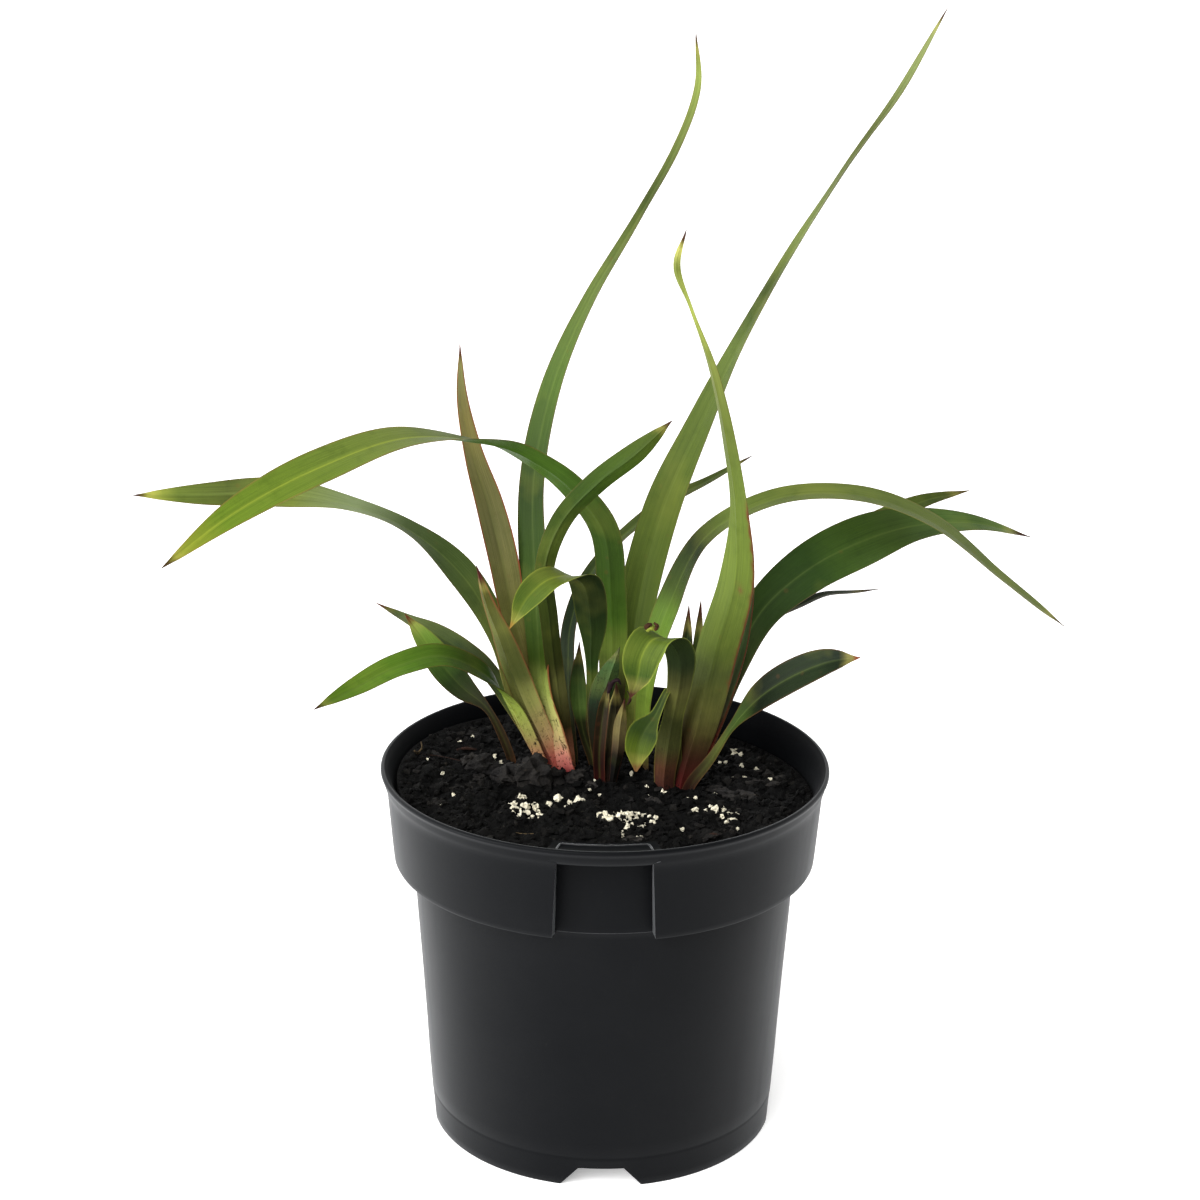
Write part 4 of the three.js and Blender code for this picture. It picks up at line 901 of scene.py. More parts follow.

# Colours of each leaf, 0 to 255. "foot" runs up the sheath by millimetres above the mix and "blade"
# by share of the length; a third entry is the under side. The stops hold painted light and shade along
# with each leaf's own colours: the mostly darker under sides, dark stops where a blade lies in shadow,
# such as tall's at 0.75, and the near-black foot of bud_scale are painted shade. A band lies along one
# margin, with its side, start and end share, width, colour and strength. A spot has a height, a place
# across from -1 to 1, half length, half width, colour and strength. A gain brightens or darkens the
# blade and "foot_gain" the foot; these paint light and shade too, as on the brightened feet and the
# near-black blades of thin_right and spike_one.
LOOKS = {
    "tall": {
        "gain": (0.43, 0.47, 0.34), "foot_gain": 1.15,
        "foot": [(0, (150, 60, 62)), (3, (186, 104, 98)), (7, (190, 122, 108)), (11, (160, 134, 96)),
            (19, (156, 150, 92)), (30, (134, 146, 72))],
        "blade": [(0.28, (88, 112, 44)), (0.35, (76, 102, 40)), (0.45, (58, 78, 34)),
            (0.55, (96, 120, 58)), (0.65, (112, 126, 72)), (0.75, (72, 83, 38)), (0.85, (128, 136, 80)),
            (0.93, (166, 176, 100)), (1, (92, 84, 42))],
        "band": (-1, 0.06, 0.36, 0.55, (118, 56, 38), 0.85),
        "dirt": 0.9, "tip": 4.5},
    "bronze_upright": {
        "gain": (0.94, 0.89, 0.84), "foot_gain": 1.3,
        "foot": [(0, (150, 60, 58)), (4, (186, 108, 96)), (12, (150, 110, 76)), (30, (120, 104, 60)),
            (52, (98, 98, 50))],
        "blade": [(0.4, (110, 112, 54)), (0.5, (103, 103, 62)), (0.62, (103, 104, 66)),
            (0.75, (116, 115, 72)), (0.85, (134, 126, 78)), (0.95, (152, 154, 100)), (1, (80, 72, 32))],
        "margin": (138, 60, 42), "margin_width": 0.4, "margin_strength": 0.85, "tip": 5,
        "tip_colour": (96, 38, 30)},
    "long_left": {
        "gain": (0.6, 0.63, 0.48), "foot_gain": 1.1,
        "foot": [(0, (205, 118, 104)), (10, (160, 126, 84)), (30, (140, 140, 76)), (50, (100, 112, 56))],
        "blade": [(0.3, (98, 112, 58)), (0.42, (92, 110, 64)), (0.5, (84, 102, 60)),
            (0.56, (84, 102, 56)), (0.65, (158, 172, 136)), (0.75, (126, 138, 68)), (0.85, (88, 98, 48)),
            (0.93, (106, 120, 54)), (1, (200, 202, 96))], "rib_strength": 0.2, "tip": 5},
    "low_back": {
        "gain": (0.52, 0.6, 0.54),
        "foot": [(0, (150, 90, 72)), (10, (110, 84, 50)), (22, (84, 100, 48)), (31, (25, 38, 24))],
        "blade": [(0.5, (30, 43, 28)), (0.62, (66, 80, 46)), (0.75, (86, 96, 60)), (0.85, (130, 136, 90)),
            (0.95, (30, 60, 12)), (1, (72, 52, 12))], "tip": 4, "tip_colour": (92, 48, 26)},
    "low_front": {
        "gain": (0.58, 0.66, 0.46), "foot_gain": 1.3,
        "foot": [(0, (136, 56, 50)), (4, (140, 84, 66)), (8, (136, 100, 72)), (14, (118, 112, 64)),
            (24, (112, 124, 54))],
        "blade": [(0.35, (90, 104, 46)), (0.45, (55, 82, 24), (84, 102, 36)), (0.56, (56, 74, 30)),
            (0.65, (92, 120, 42), (70, 96, 38)), (0.75, (100, 134, 44), (66, 92, 34)),
            (0.85, (98, 130, 40), (58, 80, 30)), (0.93, (96, 122, 36), (60, 80, 28)),
            (1, (50, 95, 6), (46, 66, 12))],
        "dirt": 0.9, "rib_strength": 0.16, "tip": 4},
    "folded": {
        "gain": (0.7, 0.73, 0.62), "foot_gain": 1.9,
        "foot": [(0, (146, 66, 62)), (5, (136, 68, 62)), (14, (122, 100, 70)), (26, (106, 106, 58))],
        "blade": [(0.5, (92, 98, 54)), (0.75, (96, 98, 54)), (0.86, (82, 82, 40)), (1, (36, 43, 22))],
        "margin": (140, 60, 46), "margin_width": 0.35, "margin_under": 1,
        "dirt": 0.7, "tip": 7.5, "tip_colour": (62, 24, 20)},
    "forward_right": {
        "gain": (0.58, 0.6, 0.38), "foot_gain": 1.3,
        "foot": [(0, (140, 90, 66)), (7, (150, 98, 74)), (16, (47, 42, 21)), (29, (72, 72, 38))],
        "blade": [(0.3, (52, 54, 26)), (0.4, (56, 64, 28)), (0.6, (68, 84, 36)), (0.75, (58, 80, 34)),
            (0.85, (68, 90, 36)), (0.93, (74, 91, 37)), (1, (74, 86, 22))], "tip": 4},
    "thin_back": {
        "gain": (0.5, 0.56, 0.42),
        "foot": [(0, (44, 44, 22)), (20, (37, 44, 20)), (35, (25, 39, 11))],
        "blade": [(0.3, (24, 41, 14)), (0.5, (27, 44, 15)), (0.7, (82, 94, 48)), (0.85, (70, 82, 38)),
            (1, (98, 110, 60))], "tip": 5.5},
    "stalked": {
        "gain": (0.75, 0.82, 0.75), "foot_gain": 1.1,
        "foot": [(0, (70, 44, 30)), (5, (48, 38, 26)), (15, (52, 44, 30)), (22, (50, 50, 38))],
        "blade": [(0.5, (56, 74, 32)), (0.62, (48, 64, 32)), (0.75, (80, 104, 46)),
            (0.85, (112, 136, 56)), (0.95, (134, 154, 74)), (1, (140, 120, 72))], "tip": 4,
            "tip_colour": (96, 52, 34)},
    "great_arch": {
        "gain": (0.58, 0.57, 0.43), "gain_under": (0.66, 0.78, 0.5), "foot_gain": 1.2,
        "foot": [(0, (90, 70, 44)), (14, (60, 54, 30)), (28, (48, 48, 26)), (42, (100, 118, 47))],
        "blade": [(0.28, (90, 118, 45)), (0.36, (84, 112, 41), (60, 80, 32)),
            (0.45, (34, 48, 22), (52, 70, 28)), (0.55, (132, 154, 74), (76, 100, 44)),
            (0.65, (46, 72, 14), (66, 88, 36)), (0.75, (128, 146, 78), (76, 94, 46)),
            (0.85, (124, 152, 60), (76, 94, 44)), (0.93, (128, 160, 54), (76, 94, 44)),
            (0.98, (170, 180, 70)), (1, (164, 160, 66))],
        "margin": (142, 84, 64), "margin_width": 0.25,
        "rib": (164, 176, 62), "rib_strength": 0.42, "tip": 6},
    "nodding": {
        "gain": (0.5, 0.54, 0.46), "foot_gain": 0.8,
        "foot": [(0, (80, 66, 40)), (20, (64, 62, 30)), (34, (31, 55, 14))],
        "blade": [(0.45, (60, 76, 30), (50, 66, 28)), (0.55, (56, 74, 28), (34, 48, 26)),
            (0.62, (98, 110, 54), (40, 52, 28)), (0.75, (112, 126, 52), (40, 52, 28)),
            (0.9, (94, 114, 43), (40, 54, 26)), (1, (118, 130, 44))],
        "margin": (160, 164, 66), "margin_strength": 0.4,
        "rib": (156, 168, 60), "rib_strength": 0.35, "tip": 2, "tip_colour": (140, 104, 48)},
    "young_back": {
        "gain": (0.9, 0.95, 0.85), "foot_gain": 0.75,
        "foot": [(0, (50, 44, 26)), (12, (35, 37, 19)), (16, (40, 46, 22)), (21, (90, 116, 53))],
        "blade": [(0.6, (60, 80, 40)), (0.8, (50, 70, 36)), (0.9, (26, 38, 20)), (1, (20, 28, 14))],
            "tip": 4},
    "young_front": {
        "gain": (0.68, 0.74, 0.76), "foot_gain": 0.7,
        "foot": [(0, (70, 50, 34)), (10, (40, 36, 24)), (21, (34, 40, 28))],
        "blade": [(0.6, (46, 62, 46)), (0.75, (60, 81, 47)), (0.9, (80, 106, 60)), (1, (84, 104, 66))],
        "dirt": 0.75, "dirt_reach": 60, "tip": 2, "tip_colour": (66, 66, 40)},
    "bud": {
        "gain": (0.55, 0.95, 0.66), "foot_gain": 0.5,
        "foot": [(0, (80, 30, 30)), (6, (52, 27, 24))],
        "blade": [(0.4, (54, 27, 23)), (0.7, (56, 33, 27)), (0.85, (23, 20, 18)), (1, (60, 38, 34))],
        "margin": (96, 52, 36), "tip": 5, "tip_colour": (50, 38, 36)},
    "bud_fold": {
        "foot_gain": 0.7,
        "foot": [(0, (40, 26, 20)), (8, (24, 18, 13))],
        "blade": [(0.5, (64, 57, 33)), (0.75, (50, 46, 28)), (0.84, (7, 7, 7)), (1, (7, 7, 7))],
        "band": (-1, 0.45, 1, 0.4, (150, 140, 80), 0.8), "tip": 4},
    "bud_scale": {
        "gain": (0.8, 0.88, 0.8),
        "foot": [(0, (11, 9, 8)), (10, (7, 7, 7)), (14, (66, 54, 38)), (19, (98, 88, 54))],
        "blade": [(0.6, (88, 82, 50)), (0.85, (41, 39, 25)), (1, (56, 52, 34))],
        "rib": (96, 46, 34), "rib_strength": 0.5,
        "margin": (120, 66, 48), "tip": 3.5},
    "tallest": {
        "gain": (0.52, 0.53, 0.42), "foot_gain": 1.4,
        "foot": [(0, (90, 84, 50)), (10, (126, 128, 62)), (22, (128, 144, 64))],
        "blade": [(0.3, (110, 130, 60)), (0.4, (98, 116, 48)), (0.5, (97, 115, 53)),
            (0.58, (108, 126, 66)), (0.65, (48, 68, 21)), (0.72, (126, 140, 80)), (0.85, (93, 101, 51)),
            (0.93, (144, 156, 106)), (1, (164, 170, 120))], "tip": 6},
    "long_right": {
        "gain": (0.6, 0.62, 0.46), "foot_gain": 1.0,
        "foot": [(0, (84, 60, 45)), (8, (112, 122, 52)), (22, (102, 124, 44)), (55, (79, 104, 35))],
        "blade": [(0.35, (84, 104, 46)), (0.44, (30, 41, 18)), (0.5, (104, 120, 56)),
            (0.65, (104, 118, 60)), (0.8, (102, 116, 60)), (0.92, (112, 124, 64)), (1, (164, 164, 92))],
            "tip": 5},
    "wavy_upright": {
        "gain": (0.66, 0.64, 0.54), "foot_gain": 0.8,
        "foot": [(0, (80, 26, 26)), (10, (66, 38, 28)), (24, (78, 76, 40)), (40, (68, 77, 35))],
        "blade": [(0.3, (90, 107, 44)), (0.42, (104, 124, 54)), (0.55, (96, 114, 49)),
            (0.68, (106, 118, 56)), (0.8, (150, 162, 82)), (0.9, (110, 122, 56)), (0.96, (190, 196, 112)),
            (1, (216, 208, 128))],
        "band": (1, 0.24, 0.52, 0.6, (84, 34, 26), 0.85),
        "spots": [(72, 0.35, 1.2, 0.8, (96, 66, 40), 0.8)], "tip": 5},
    "broad_right": {
        "gain": (0.52, 0.58, 0.42),
        "foot": [(0, (134, 32, 34)), (12, (88, 42, 34)), (30, (58, 58, 30)), (45, (48, 62, 26))],
        "blade": [(0.35, (44, 62, 24)), (0.5, (47, 69, 24)), (0.57, (49, 74, 24)), (0.62, (66, 90, 34)),
            (0.75, (66, 84, 38)), (0.85, (88, 112, 60)), (0.9, (78, 100, 45)), (0.95, (102, 124, 60)),
            (1, (50, 54, 18))], "rib_strength": 0.12, "tip": 7},
    "behind_right": {
        "gain": (0.32, 0.39, 0.24),
        "foot": [(0, (90, 50, 40)), (20, (60, 62, 34))],
        "blade": [(0.5, (80, 100, 44)), (0.8, (98, 116, 52)), (1, (52, 62, 16))], "tip": 5},
    "thin_right": {
        "gain": (0.05, 0.08, 0.02),
        "foot": [(0, (80, 46, 34)), (20, (56, 60, 30))],
        "blade": [(0.4, (70, 94, 36)), (0.6, (90, 106, 56)), (0.85, (110, 120, 66)), (1, (104, 104, 62))],
            "tip": 7},
    "low_right": {
        "gain": (0.33, 0.38, 0.3), "foot_gain": 0.5,
        "foot": [(0, (58, 32, 26)), (11, (64, 64, 32)), (18, (76, 84, 38)), (27, (70, 92, 38))],
        "blade": [(0.45, (60, 78, 34)), (0.55, (16, 27, 14)), (0.7, (37, 50, 26)), (0.82, (43, 57, 32)),
            (0.92, (23, 38, 19)), (1, (118, 124, 84))], "rib_strength": 0.12, "tip": 3,
            "tip_colour": (104, 52, 34)},
    "hanging": {
        "gain": (0.47, 0.47, 0.32), "gain_under": (0.8, 0.86, 0.8), "foot_gain": 1.2,
        "foot": [(0, (58, 32, 28)), (7, (78, 50, 36)), (15, (68, 70, 37)), (24, (48, 52, 24)),
            (36, (60, 60, 31))],
        "blade": [(0.35, (46, 56, 28)), (0.45, (36, 44, 24)), (0.55, (62, 78, 36), (38, 48, 24)),
            (0.62, (98, 120, 52), (44, 54, 28)), (0.8, (106, 128, 54), (44, 54, 28)),
            (0.93, (47, 81, 25), (44, 54, 28)), (1, (80, 106, 40))],
        "margin": (166, 178, 72), "margin_width": 0.22, "margin_strength": 0.45,
        "rib": (156, 170, 64), "rib_strength": 0.35, "tip": 3.5},
    "short_bent": {
        "gain": (0.28, 0.36, 0.13),
        "foot": [(0, (60, 36, 30)), (12, (62, 60, 32)), (24, (56, 66, 32))],
        "blade": [(0.45, (50, 64, 28)), (0.62, (66, 82, 25)), (0.76, (66, 84, 28)),
            (0.86, (116, 126, 46)), (1, (124, 132, 50))],
        "margin": (150, 158, 60), "tip": 2.2, "tip_colour": (104, 70, 44)},
    "red_spike": {
        "gain": (1.1, 2.3, 2.4),
        "foot": [(0, (118, 30, 32)), (14, (84, 38, 30)), (28, (74, 78, 60)), (45, (66, 84, 50))],
        "blade": [(0.6, (58, 56, 28)), (0.9, (62, 54, 30)), (1, (52, 30, 24))],
        "margin": (110, 40, 32), "margin_width": 0.4, "margin_strength": 0.8, "tip": 5},
    "spike_one": {
        "gain": (0.04, 0.07, 0.03),
        "foot": [(0, (96, 50, 38)), (14, (80, 82, 40))],
        "blade": [(0.5, (92, 112, 50)), (0.85, (92, 112, 50)), (1, (84, 90, 44))], "tip": 6},
    "spike_two": {
        "gain": (0.68, 0.73, 0.66),
        "foot": [(0, (96, 50, 38)), (14, (76, 76, 40))],
        "blade": [(0.5, (86, 102, 46)), (0.8, (84, 96, 46)), (1, (76, 76, 40))], "tip": 9},
}
BROWN_TIP = (58, 30, 22)
WARM_TIP = (172, 158, 84)
PLAIN_RIB = (128, 146, 74)
PLAIN_MARGIN = (104, 66, 42)
RUST_SHARE = 0.12

# Every leaf starts below the soil between its own foot and the crown of its shoot. The sheath folds
# more than the blade. The margins are thinner than the middle, which has a keel under the rib.
ROOT_DEPTH = 12
ROOT_WIDTH_SHARE = 0.8
SHEATH_FOLD = 38
SHEATH_SHARE = 0.35
SLOPE_REACH = 0.01
ROW_STEP = 1.6
LEAST_HALF_WIDTH = 0.4
POINT_LENGTH = 7
POINT_SHARE = 0.25
MARGIN_HALF_THICK = 0.1
MIDDLE_EXTRA_THICK = 0.13
KEEL_DEPTH = 0.32
KEEL_SHARE = 0.09
RIPPLE_HEIGHT = 0.14
CALM_LENGTH = 20
FOOT_LEVEL = 118
FOOT_BLEND = 12
ACROSS = np.array([-1, -0.96, -0.88, -0.74, -0.55, -0.34, -0.16, -0.06, 0, 0.06, 0.16, 0.34, 0.55,
                   0.74, 0.88, 0.96, 1])


def eased(rows, share):
    """A smooth curve through the rows, at many shares of the way from the first to the last."""
    rows = np.asarray(rows, float)
    padded = np.vstack([2 * rows[0] - rows[1], rows, 2 * rows[-1] - rows[-2]])
    place = np.clip(share, 0, 1) * (len(rows) - 1)
    index = np.minimum(place.astype(int), len(rows) - 2)
    s = (place - index)[:, None]
    before, first, second, after = (padded[index + step] for step in range(4))
    slope_first = (second - before) / 2
    slope_second = (after - first) / 2
    a = 2 * (first - second) + slope_first + slope_second
    b = 3 * (second - first) - 2 * slope_first - slope_second
    return ((a * s + b) * s + slope_first) * s + first


def unit(vectors):
    return vectors / np.linalg.norm(vectors, axis=-1, keepdims=True)


def leaf_rows(leaf):
    """Points on the leaf's middle line with its directions, width and fold, evenly spaced."""
    _, node, heading, blade_fold, stations = leaf
    crown_x, crown_y = CROWNS[node]
    x, y, z, width, turn = stations[0]
    root = ((x + crown_x) / 2, (y + crown_y) / 2, z - ROOT_DEPTH, ROOT_WIDTH_SHARE * width, turn)
    rows = [root, *stations]
    fine = np.linspace(0, 1, 1600)
    path = eased(rows, fine)[:, :3]
    reach = np.concatenate([[0], np.cumsum(np.linalg.norm(np.diff(path, axis=0), axis=1))])
    count = max(24, int(reach[-1] / ROW_STEP))
    even = np.linspace(0, reach[-1], count)
    share = np.interp(even, reach, fine)
    row = eased(rows, share)
    slope = eased(rows, share + SLOPE_REACH)[:, :3] - eased(rows, share - SLOPE_REACH)[:, :3]
    along = unit(slope)
    bearing = math.radians(heading)
    level = np.array([-math.sin(bearing), math.cos(bearing), 0])
    across = unit(level - along * (along @ level)[:, None])
    turn = np.radians(row[:, 4])[:, None]
    across = across * np.cos(turn) + np.cross(along, across) * np.sin(turn)
    upper = np.cross(along, across)
    width = np.maximum(row[:, 3], LEAST_HALF_WIDTH)
    sheath = np.maximum(0, 1 - share / SHEATH_SHARE)
    fold = np.radians(blade_fold + (SHEATH_FOLD - blade_fold) * sheath)
    return row[:, :3], across, upper, width, fold, share, even


def colour_bands(stops, place, side):
    """Linear colours at many places, eased between stops; side 1 is the upper side, 2 the under."""
    at = np.array([stop[0] for stop in stops])
    values = np.array([linear(stop[side] if len(stop) > side else stop[1]) for stop in stops])
    return np.stack([np.interp(place, at, values[:, part]) for part in range(3)], axis=1)


def leaf_colours(look, climb, share, across_mm, width, left, seed):
    """The tint at every point of a leaf: foot and blade, rib, margins, bands, spots, then the tip."""
    rows, around = across_mm.shape
    columns = len(ACROSS)
    above = climb - FOOT_LEVEL
    foot_end = look["foot"][-1][0]
    blend = smooth_step(foot_end, foot_end + FOOT_BLEND, above)[:, None]
    tint = np.zeros((rows, around, 3))
    # Foot and blade colours and their gains, painted light and shade included, on the upper side and then the
    # under side.
    for side, part in ((1, slice(0, columns)), (2, slice(columns, around))):
        foot = colour_bands(look["foot"], above, side) * look.get("foot_gain", 1)
        gain = look.get("gain", (1, 1, 1))
        if side == 2:
            gain = look.get("gain_under", gain)
        blade = colour_bands(look["blade"], share, side) * gain
        tint[:, part] = (foot + (blade - foot) * blend)[:, None]
    loop_u = across_mm / width[:, None]

    def lay(colour, strength):
        nonlocal tint
        tint = tint + (np.array(linear(colour)) - tint) * np.clip(strength, 0, 1)[..., None]

    upper = np.zeros(around)
    upper[:columns] = 1
    rib = np.exp(-(across_mm / 0.3) ** 2) * np.clip(left / CALM_LENGTH, 0, 1)[:, None] * upper
    rib *= look.get("rib_strength", 0.1) * smooth_step(0.1, 0.3, share)[:, None]
    lay(look.get("rib", PLAIN_RIB), rib)
    inward = width[:, None] - np.abs(across_mm)
    margin_width = look.get("margin_width", 0.2)
    edge = smooth_step(margin_width * 1.6, margin_width * 0.4, inward)
    edge *= look.get("margin_strength", 0.4) * np.clip(width / 1.5, 0, 1)[:, None]
    edge = edge * np.where(upper > 0, 1, look.get("margin_under", 0.25))
    lay(look.get("margin", PLAIN_MARGIN), edge)
    if "band" in look:
        side, start, end, band_width, colour, strength = look["band"]
        ragged = np.array([noise.noise(Vector((value * 9, seed, 2))) for value in share * 10])
        reach = band_width * (1 + 0.7 * ragged)[:, None]
        span = smooth_step(start, start + 0.02, share) * smooth_step(end, end - 0.02, share)
        band = smooth_step(reach * 1.5, reach * 0.7, inward) * span[:, None] * (loop_u * side > 0)
        lay(colour, band * strength)
    for height, place, length, half_width, colour, strength in look.get("spots", []):
        climbed = (above[:, None] - height) / length
        aside = (across_mm - place * width[:, None]) / half_width
        lay(colour, np.exp(-climbed ** 2 - aside ** 2) * strength)
    tip = look["tip"]
    ragged = np.array([noise.noise(Vector((value * 2.2, seed, 0.5))) for value in loop_u[0]])
    distance = left[:, None] + 1.5 * ragged[None, :] * min(1, tip / 5)
    fade = smooth_step(tip * 1.2, tip * 0.5, distance)
    lay(WARM_TIP, 0.25 * smooth_step(tip + 5, tip + 1, distance) * (1 - fade))
    lay(look.get("tip_colour", BROWN_TIP), fade)
    return tint, fade, above


def make_leaf(leaf, seed):
    """A closed blade with a fold along its rib, a keel, thin margins and slightly rippled edges."""
    middle, across, upper, width, fold, share, reach = leaf_rows(leaf)
    name, node = leaf[:2]
    look = LOOKS[name]
    left = reach[-1] - reach
    rows = len(share)
    point_taper = np.sqrt(np.clip(left / POINT_LENGTH, 0, 1))
    width = width * (POINT_SHARE + (1 - POINT_SHARE) * point_taper)
    rise = width * np.tan(fold)
    u = ACROSS[None, :]
    bend = np.sqrt(u * u + 0.004) - 0.5
    half_thick = MARGIN_HALF_THICK + MIDDLE_EXTRA_THICK * (1 - u * u)
    keel = KEEL_DEPTH * np.exp(-(u / KEEL_SHARE) ** 2) * np.clip(width / 4, 0.2, 1)[:, None]
    phase = random.Random(seed).uniform(0, 6.28)
    ripple = np.sin(reach / 9.5 + phase) * 0.6 + np.sin(reach / 5.3 + 2 * phase) * 0.4
    calm = np.clip((share - 0.2) / 0.15, 0, 1) * np.clip(left / CALM_LENGTH, 0, 1)
    lift = (np.sign(u) * ripple[:, None] * 0.5 + np.cos(reach / 7 + phase)[:, None] * 0.5)
    wave = RIPPLE_HEIGHT * calm[:, None] * lift * np.abs(u) ** 3
    base = middle[:, None, :] + across[:, None, :] * (u * width[:, None])[..., None]
    height = bend * rise[:, None] + wave
    thin = np.clip(width / 2.5, 0.35, 1)[:, None]
    top = base + upper[:, None, :] * (height + half_thick * thin)[..., None]
    under = base + upper[:, None, :] * (height - half_thick * thin - keel)[..., None]

    columns = len(ACROSS)
    loop = np.concatenate([top, under[:, ::-1]], axis=1)
    points = loop.reshape(-1, 3)
    around = 2 * columns
    faces = tube_faces(rows, around)
    for row in (0, rows - 1):
        for column in range(columns - 1):
            first = row * around
            face = (first + column, first + column + 1,
                    first + around - 2 - column, first + around - 1 - column)
            faces.append(face if row else face[::-1])

    loop_u = np.concatenate([ACROSS, ACROSS[::-1]])
    across_mm = loop_u[None, :] * width[:, None]
    climb = np.maximum.accumulate(middle[:, 2])
    tint, fade, above = leaf_colours(look, climb, share, across_mm, width, left, seed)
    colour = np.concatenate([tint, np.ones((rows, around, 1))], axis=2).reshape(-1, 4)
    strap = np.stack([across_mm, np.repeat(reach[:, None], around, 1),
                      np.full((rows, around), seed * 3.7)], axis=2).reshape(-1, 3)
    dirt = look.get("dirt", 0.2) * np.clip(1 - (above - 4) / look.get("dirt_reach", 34), 0, 1)
    dirt = np.maximum(dirt, 0.9 * np.clip(1 - above / 3, 0, 1))
    marks = np.stack([np.repeat(dirt[:, None], around, 1),
                      np.full((rows, around), RUST_SHARE), fade], axis=2).reshape(-1, 3)
    piece = make_piece("leaf_" + name, points, faces, leaf_material, node, sharp=60)
    set_attribute(piece, "tint", "FLOAT_COLOR", colour)
    set_attribute(piece, "strap", "FLOAT_VECTOR", strap)
    set_attribute(piece, "marks", "FLOAT_VECTOR", marks)


for number, leaf in enumerate(LEAVES, 1):
    make_leaf(leaf, number)


# Small things: straw and sticks, the raised edge of the ledge with a painted highlight, and dried bits on the
# shoots

LEDGE_LIP_HEIGHT = 125.9
LEDGE_LIP_RADIUS = 66.2

# Half of the ledge's edge: radius and angle, from its end at the rim to near the middle
LEDGE_LIP_HALF = [(71, 12.3), (68, 12.3), (66.6, 12), (66.2, 11), (66.2, 8), (66.2, 4)]


def rod(name, path, widths, material, sides=8, flat=1.0):
    """A closed rod along a smooth path, its half width given at each point of the path."""
    share = np.linspace(0, 1, 8 * (len(path) - 1) + 1)
    line = eased(path, share)
    width = np.interp(share, np.linspace(0, 1, len(widths)), widths)
    along = unit(np.gradient(line, axis=0))
    side = unit(np.cross(along, (0.31, 0.22, 0.92)))
    lift = np.cross(side, along)
    shift = Vector((line[0][0], line[0][1], 1))
    points = []
    for row in range(len(line)):
        for step in range(sides):
            turn = math.tau * step / sides
            swell = 1 + 0.3 * noise.noise(Vector((math.cos(turn), math.sin(turn), row * 0.4)) + shift)
            offset = side[row] * math.cos(turn) + lift[row] * math.sin(turn) * flat
            points.append(line[row] + offset * width[row] * swell)
    faces = tube_faces(len(line), sides)
    faces.append(tuple(range(sides))[::-1])
    last = (len(line) - 1) * sides
    faces.append(tuple(range(last, last + sides)))
    piece = make_piece(name, points, faces, material)
    set_shade(piece, np.ones(len(points)))
    return piece


def make_litter():
    """A branched straw with its root, reddish bits of stick and a pale thread."""
    level = ground(-63, 15)
    rod("straw_stem", [(-64, 19, level + 0.2), (-63.8, 15, level + 2), (-64.6, 11, level + 4.5)],
        [0.4, 0.5, 0.25], straw_material)
    rod("straw_branch", [(-63.8, 15, level + 2), (-62.2, 13.5, level + 4.5), (-62.4, 13, level + 7)],
        [0.3, 0.35, 0.2], straw_material)
    rod("straw_root", [(-64, 18, level + 0.5), (-56, 15, level + 1), (-46, 10, ground(-46, 10) + 0.2)],
        [0.16, 0.14, 0.1], stick_material)
    level = ground(-48, 24)
    rod("stick_reddish", [(-51, 23.5, level + 0.4), (-48, 24, level + 0.9), (-44, 24.2, level + 0.5)],
        [0.4, 0.6, 0.3], stick_material)
    level = ground(35, -40.6)
    rod("chip_reddish", [(33.4, -40.8, level + 0.4), (35, -40.4, level + 0.8), (36.8, -40.6, level + 0.5)],
        [0.5, 0.9, 0.4], stick_material, flat=0.5)
    level = ground(-26, -40)
    rod("thread_pale", [(-30, -38, level + 0.3), (-26, -41, level + 0.9), (-21, -39, level + 0.3)],
        [0.1, 0.12, 0.1], straw_material, sides=6)


def make_ledge_lip():
    """The raised edge of the ledge behind the recessed panel, turned back to the rim at both ends, lighter as
    a painted highlight.
    """
    left_half = [(radius, -bearing) for radius, bearing in LEDGE_LIP_HALF]
    path = []
    for radius, bearing in [*left_half, (LEDGE_LIP_RADIUS, 0), *reversed(LEDGE_LIP_HALF)]:
        turn = math.radians(bearing)
        path.append((radius * math.sin(turn), -radius * math.cos(turn), LEDGE_LIP_HEIGHT))
    rod("pot_ledge_lip", path, [0.3, 0.35, 0.35, 0.3], edge_highlight_material)


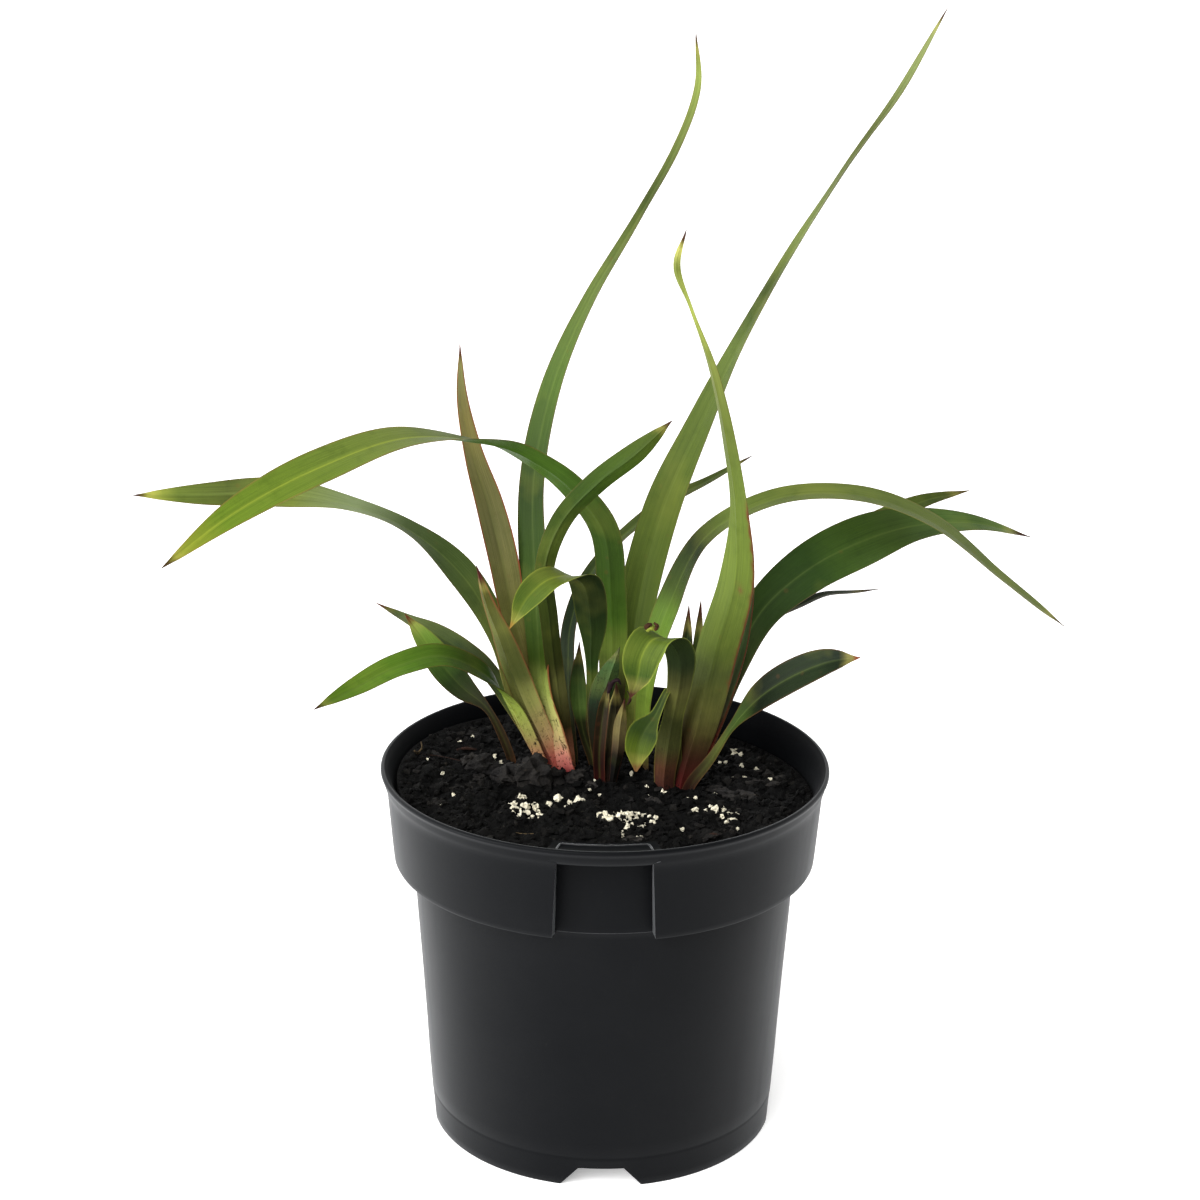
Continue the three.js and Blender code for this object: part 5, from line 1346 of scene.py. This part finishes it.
def make_dried_parts():
    """Withered bits on the shoots: tint and marks as on the leaves, so they share that material."""
    parts = [
        ("leaf_knob", "shoot_right", [(13, -17, 180), (14.3, -17.2, 181.2), (15.8, -17, 180.6)],
         [0.7, 1.35, 0.8], (120, 128, 50), 0.8),
        ("leaf_curl_a", "shoot_right", [(12.8, -17.4, 180.8), (13.3, -17.9, 182.2), (14.6, -17.7, 182.6)],
         [0.7, 1.1, 0.6], (52, 32, 20), 0.7),
        ("leaf_curl_b", "shoot_right", [(15.4, -17.9, 180.6), (16.3, -17.5, 181.8), (15.2, -17.2, 182.9)],
         [0.7, 1.0, 0.5], (60, 36, 22), 0.7),
        ("leaf_curl_c", "shoot_bud", [(7.2, 2.4, 147), (8.2, 1.8, 149.5), (7.2, 2, 152)],
         [0.4, 0.6, 0.25], (42, 26, 20), 0.5),
        ("leaf_hood", "shoot_bud", [(0.8, 2.9, 151), (2, 2.4, 154.6), (3.9, 2.2, 155.8), (5, 2.4, 154.2)],
         [0.6, 0.9, 0.9, 0.3], (30, 17, 22), 0.7),
    ]
    for name, node, path, widths, colour, flat in parts:
        piece = rod(name, path, widths, leaf_material, sides=12, flat=flat)
        count = len(piece.data.vertices)
        set_attribute(piece, "tint", "FLOAT_COLOR", np.tile([*linear(colour), 1], (count, 1)))
        strap = [tuple(vertex.co / MM) for vertex in piece.data.vertices]
        set_attribute(piece, "strap", "FLOAT_VECTOR", strap)
        set_attribute(piece, "marks", "FLOAT_VECTOR", np.tile([0.1, 0.4, 0.8], (count, 1)))
        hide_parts(node)


make_litter()
make_ledge_lip()
make_dried_parts()


# Stage: pale floor, soft studio light, and the camera

# Metres, degrees and watts
FLOOR_REACH = 8
FLOOR_GLOW = 0.35
FRONT_LIGHT = 0.3
BACK_LIGHT = 1.55
TOP_LIGHT = 0.9
KEY_STRENGTH = 3
KEY_SPREAD = 50
KEY_TILT = 54
KEY_TURN = -32
SIDE_POWER = 9
SIDE_SIZE = 0.5
SIDE_PLACE = (-0.8, -0.35, 0.16)
SIDE_AIM = (0, 0, 0.06)
CAMERA_PLACE = (-0.002262, -0.877797, 0.483596)
CAMERA_TILT = 18.81
CAMERA_ROLL = 0.5906
CAMERA_LENS = 84.75
SENSOR_WIDTH = 36


def make_floor():
    material, tree = new_material("floor")
    place = object_coordinates(tree)
    cloud = noise_node(tree, place, 3, 2)
    colour = mix(tree, cloud, (0.94, 0.94, 0.94, 1), (0.96, 0.96, 0.96, 1))
    shader = surface(tree, colour, 0.9, bump(tree, cloud, 0.02, 0.001), specular=0.0)
    shader.inputs["Emission Color"].default_value = (1, 1, 1, 1)
    shader.inputs["Emission Strength"].default_value = FLOOR_GLOW
    mesh = bpy.data.meshes.new("floor")
    sides = 96
    turns = [math.tau * side / sides for side in range(sides)]
    ring = [(FLOOR_REACH * math.cos(turn), FLOOR_REACH * math.sin(turn), 0) for turn in turns]
    mesh.from_pydata(ring, [], [tuple(range(sides))])
    mesh.materials.append(material)
    add_object("floor", mesh)


def make_world():
    """Soft light from all round: bright at the sides and the back, dim low down in front and right."""
    world = bpy.data.worlds.new("studio")
    world.use_nodes = True
    tree = world.node_tree
    tree.nodes.clear()
    direction = add(tree, "ShaderNodeTexCoord").outputs["Generated"]
    parts = add(tree, "ShaderNodeSeparateXYZ", {"Vector": direction})
    aside = math_node(tree, "MULTIPLY", parts.outputs[0], 0.34)
    towards = math_node(tree, "SUBTRACT", parts.outputs[1], aside)
    behind = remap(tree, towards, -0.92, -0.05, FRONT_LIGHT, BACK_LIGHT)
    overhead = remap(tree, parts.outputs[2], 0.25, 0.9)
    below = math_node(tree, "SUBTRACT", 1.0, overhead)
    leftward = remap(tree, parts.outputs[0], -1, 1, 1.12, 0.88)
    around = math_node(tree, "MULTIPLY", math_node(tree, "MULTIPLY", behind, below), leftward)
    strength = math_node(tree, "ADD", around, math_node(tree, "MULTIPLY", overhead, TOP_LIGHT))
    light = add(tree, "ShaderNodeBackground", {"Color": (1, 0.995, 0.985, 1), "Strength": strength})
    output = add(tree, "ShaderNodeOutputWorld")
    tree.links.new(light.outputs[0], output.inputs[0])
    bpy.context.scene.world = world


def make_sun():
    """A soft key from above and in front, to the left of the camera."""
    lamp = bpy.data.lights.new("key", "SUN")
    lamp.energy = KEY_STRENGTH
    lamp.angle = math.radians(KEY_SPREAD)
    add_object("key", lamp).rotation_euler = (math.radians(KEY_TILT), 0, math.radians(KEY_TURN))


def make_side_light():
    """A softbox low on the left."""
    lamp = bpy.data.lights.new("side", "AREA")
    lamp.shape = "RECTANGLE"
    lamp.size = SIDE_SIZE
    lamp.size_y = SIDE_SIZE
    lamp.energy = SIDE_POWER
    softbox = add_object("side", lamp)
    softbox.location = SIDE_PLACE
    softbox.rotation_euler = (Vector(SIDE_AIM) - Vector(SIDE_PLACE)).to_track_quat("-Z", "Y").to_euler()


def make_camera():
    """The camera where the photograph was taken from, a little rolled."""
    tilt = math.radians(CAMERA_TILT)
    roll = math.radians(CAMERA_ROLL)
    forward = Vector((0, math.cos(tilt), -math.sin(tilt)))
    right = Vector((1, 0, 0))
    up = Vector((0, math.sin(tilt), math.cos(tilt)))
    rolled_right = right * math.cos(roll) + up * math.sin(roll)
    rolled_up = up * math.cos(roll) - right * math.sin(roll)
    lens = bpy.data.cameras.new("camera")
    lens.lens = CAMERA_LENS
    lens.sensor_width = SENSOR_WIDTH
    lens.clip_start = 0.01
    lens.clip_end = 60
    camera = add_object("camera", lens)
    pose = Matrix((rolled_right, rolled_up, -forward)).transposed().to_4x4()
    pose.translation = CAMERA_PLACE
    camera.matrix_world = pose
    bpy.context.scene.camera = camera


make_floor()
make_world()
make_sun()
make_side_light()
make_camera()
bpy.context.scene.view_settings.view_transform = "Standard"
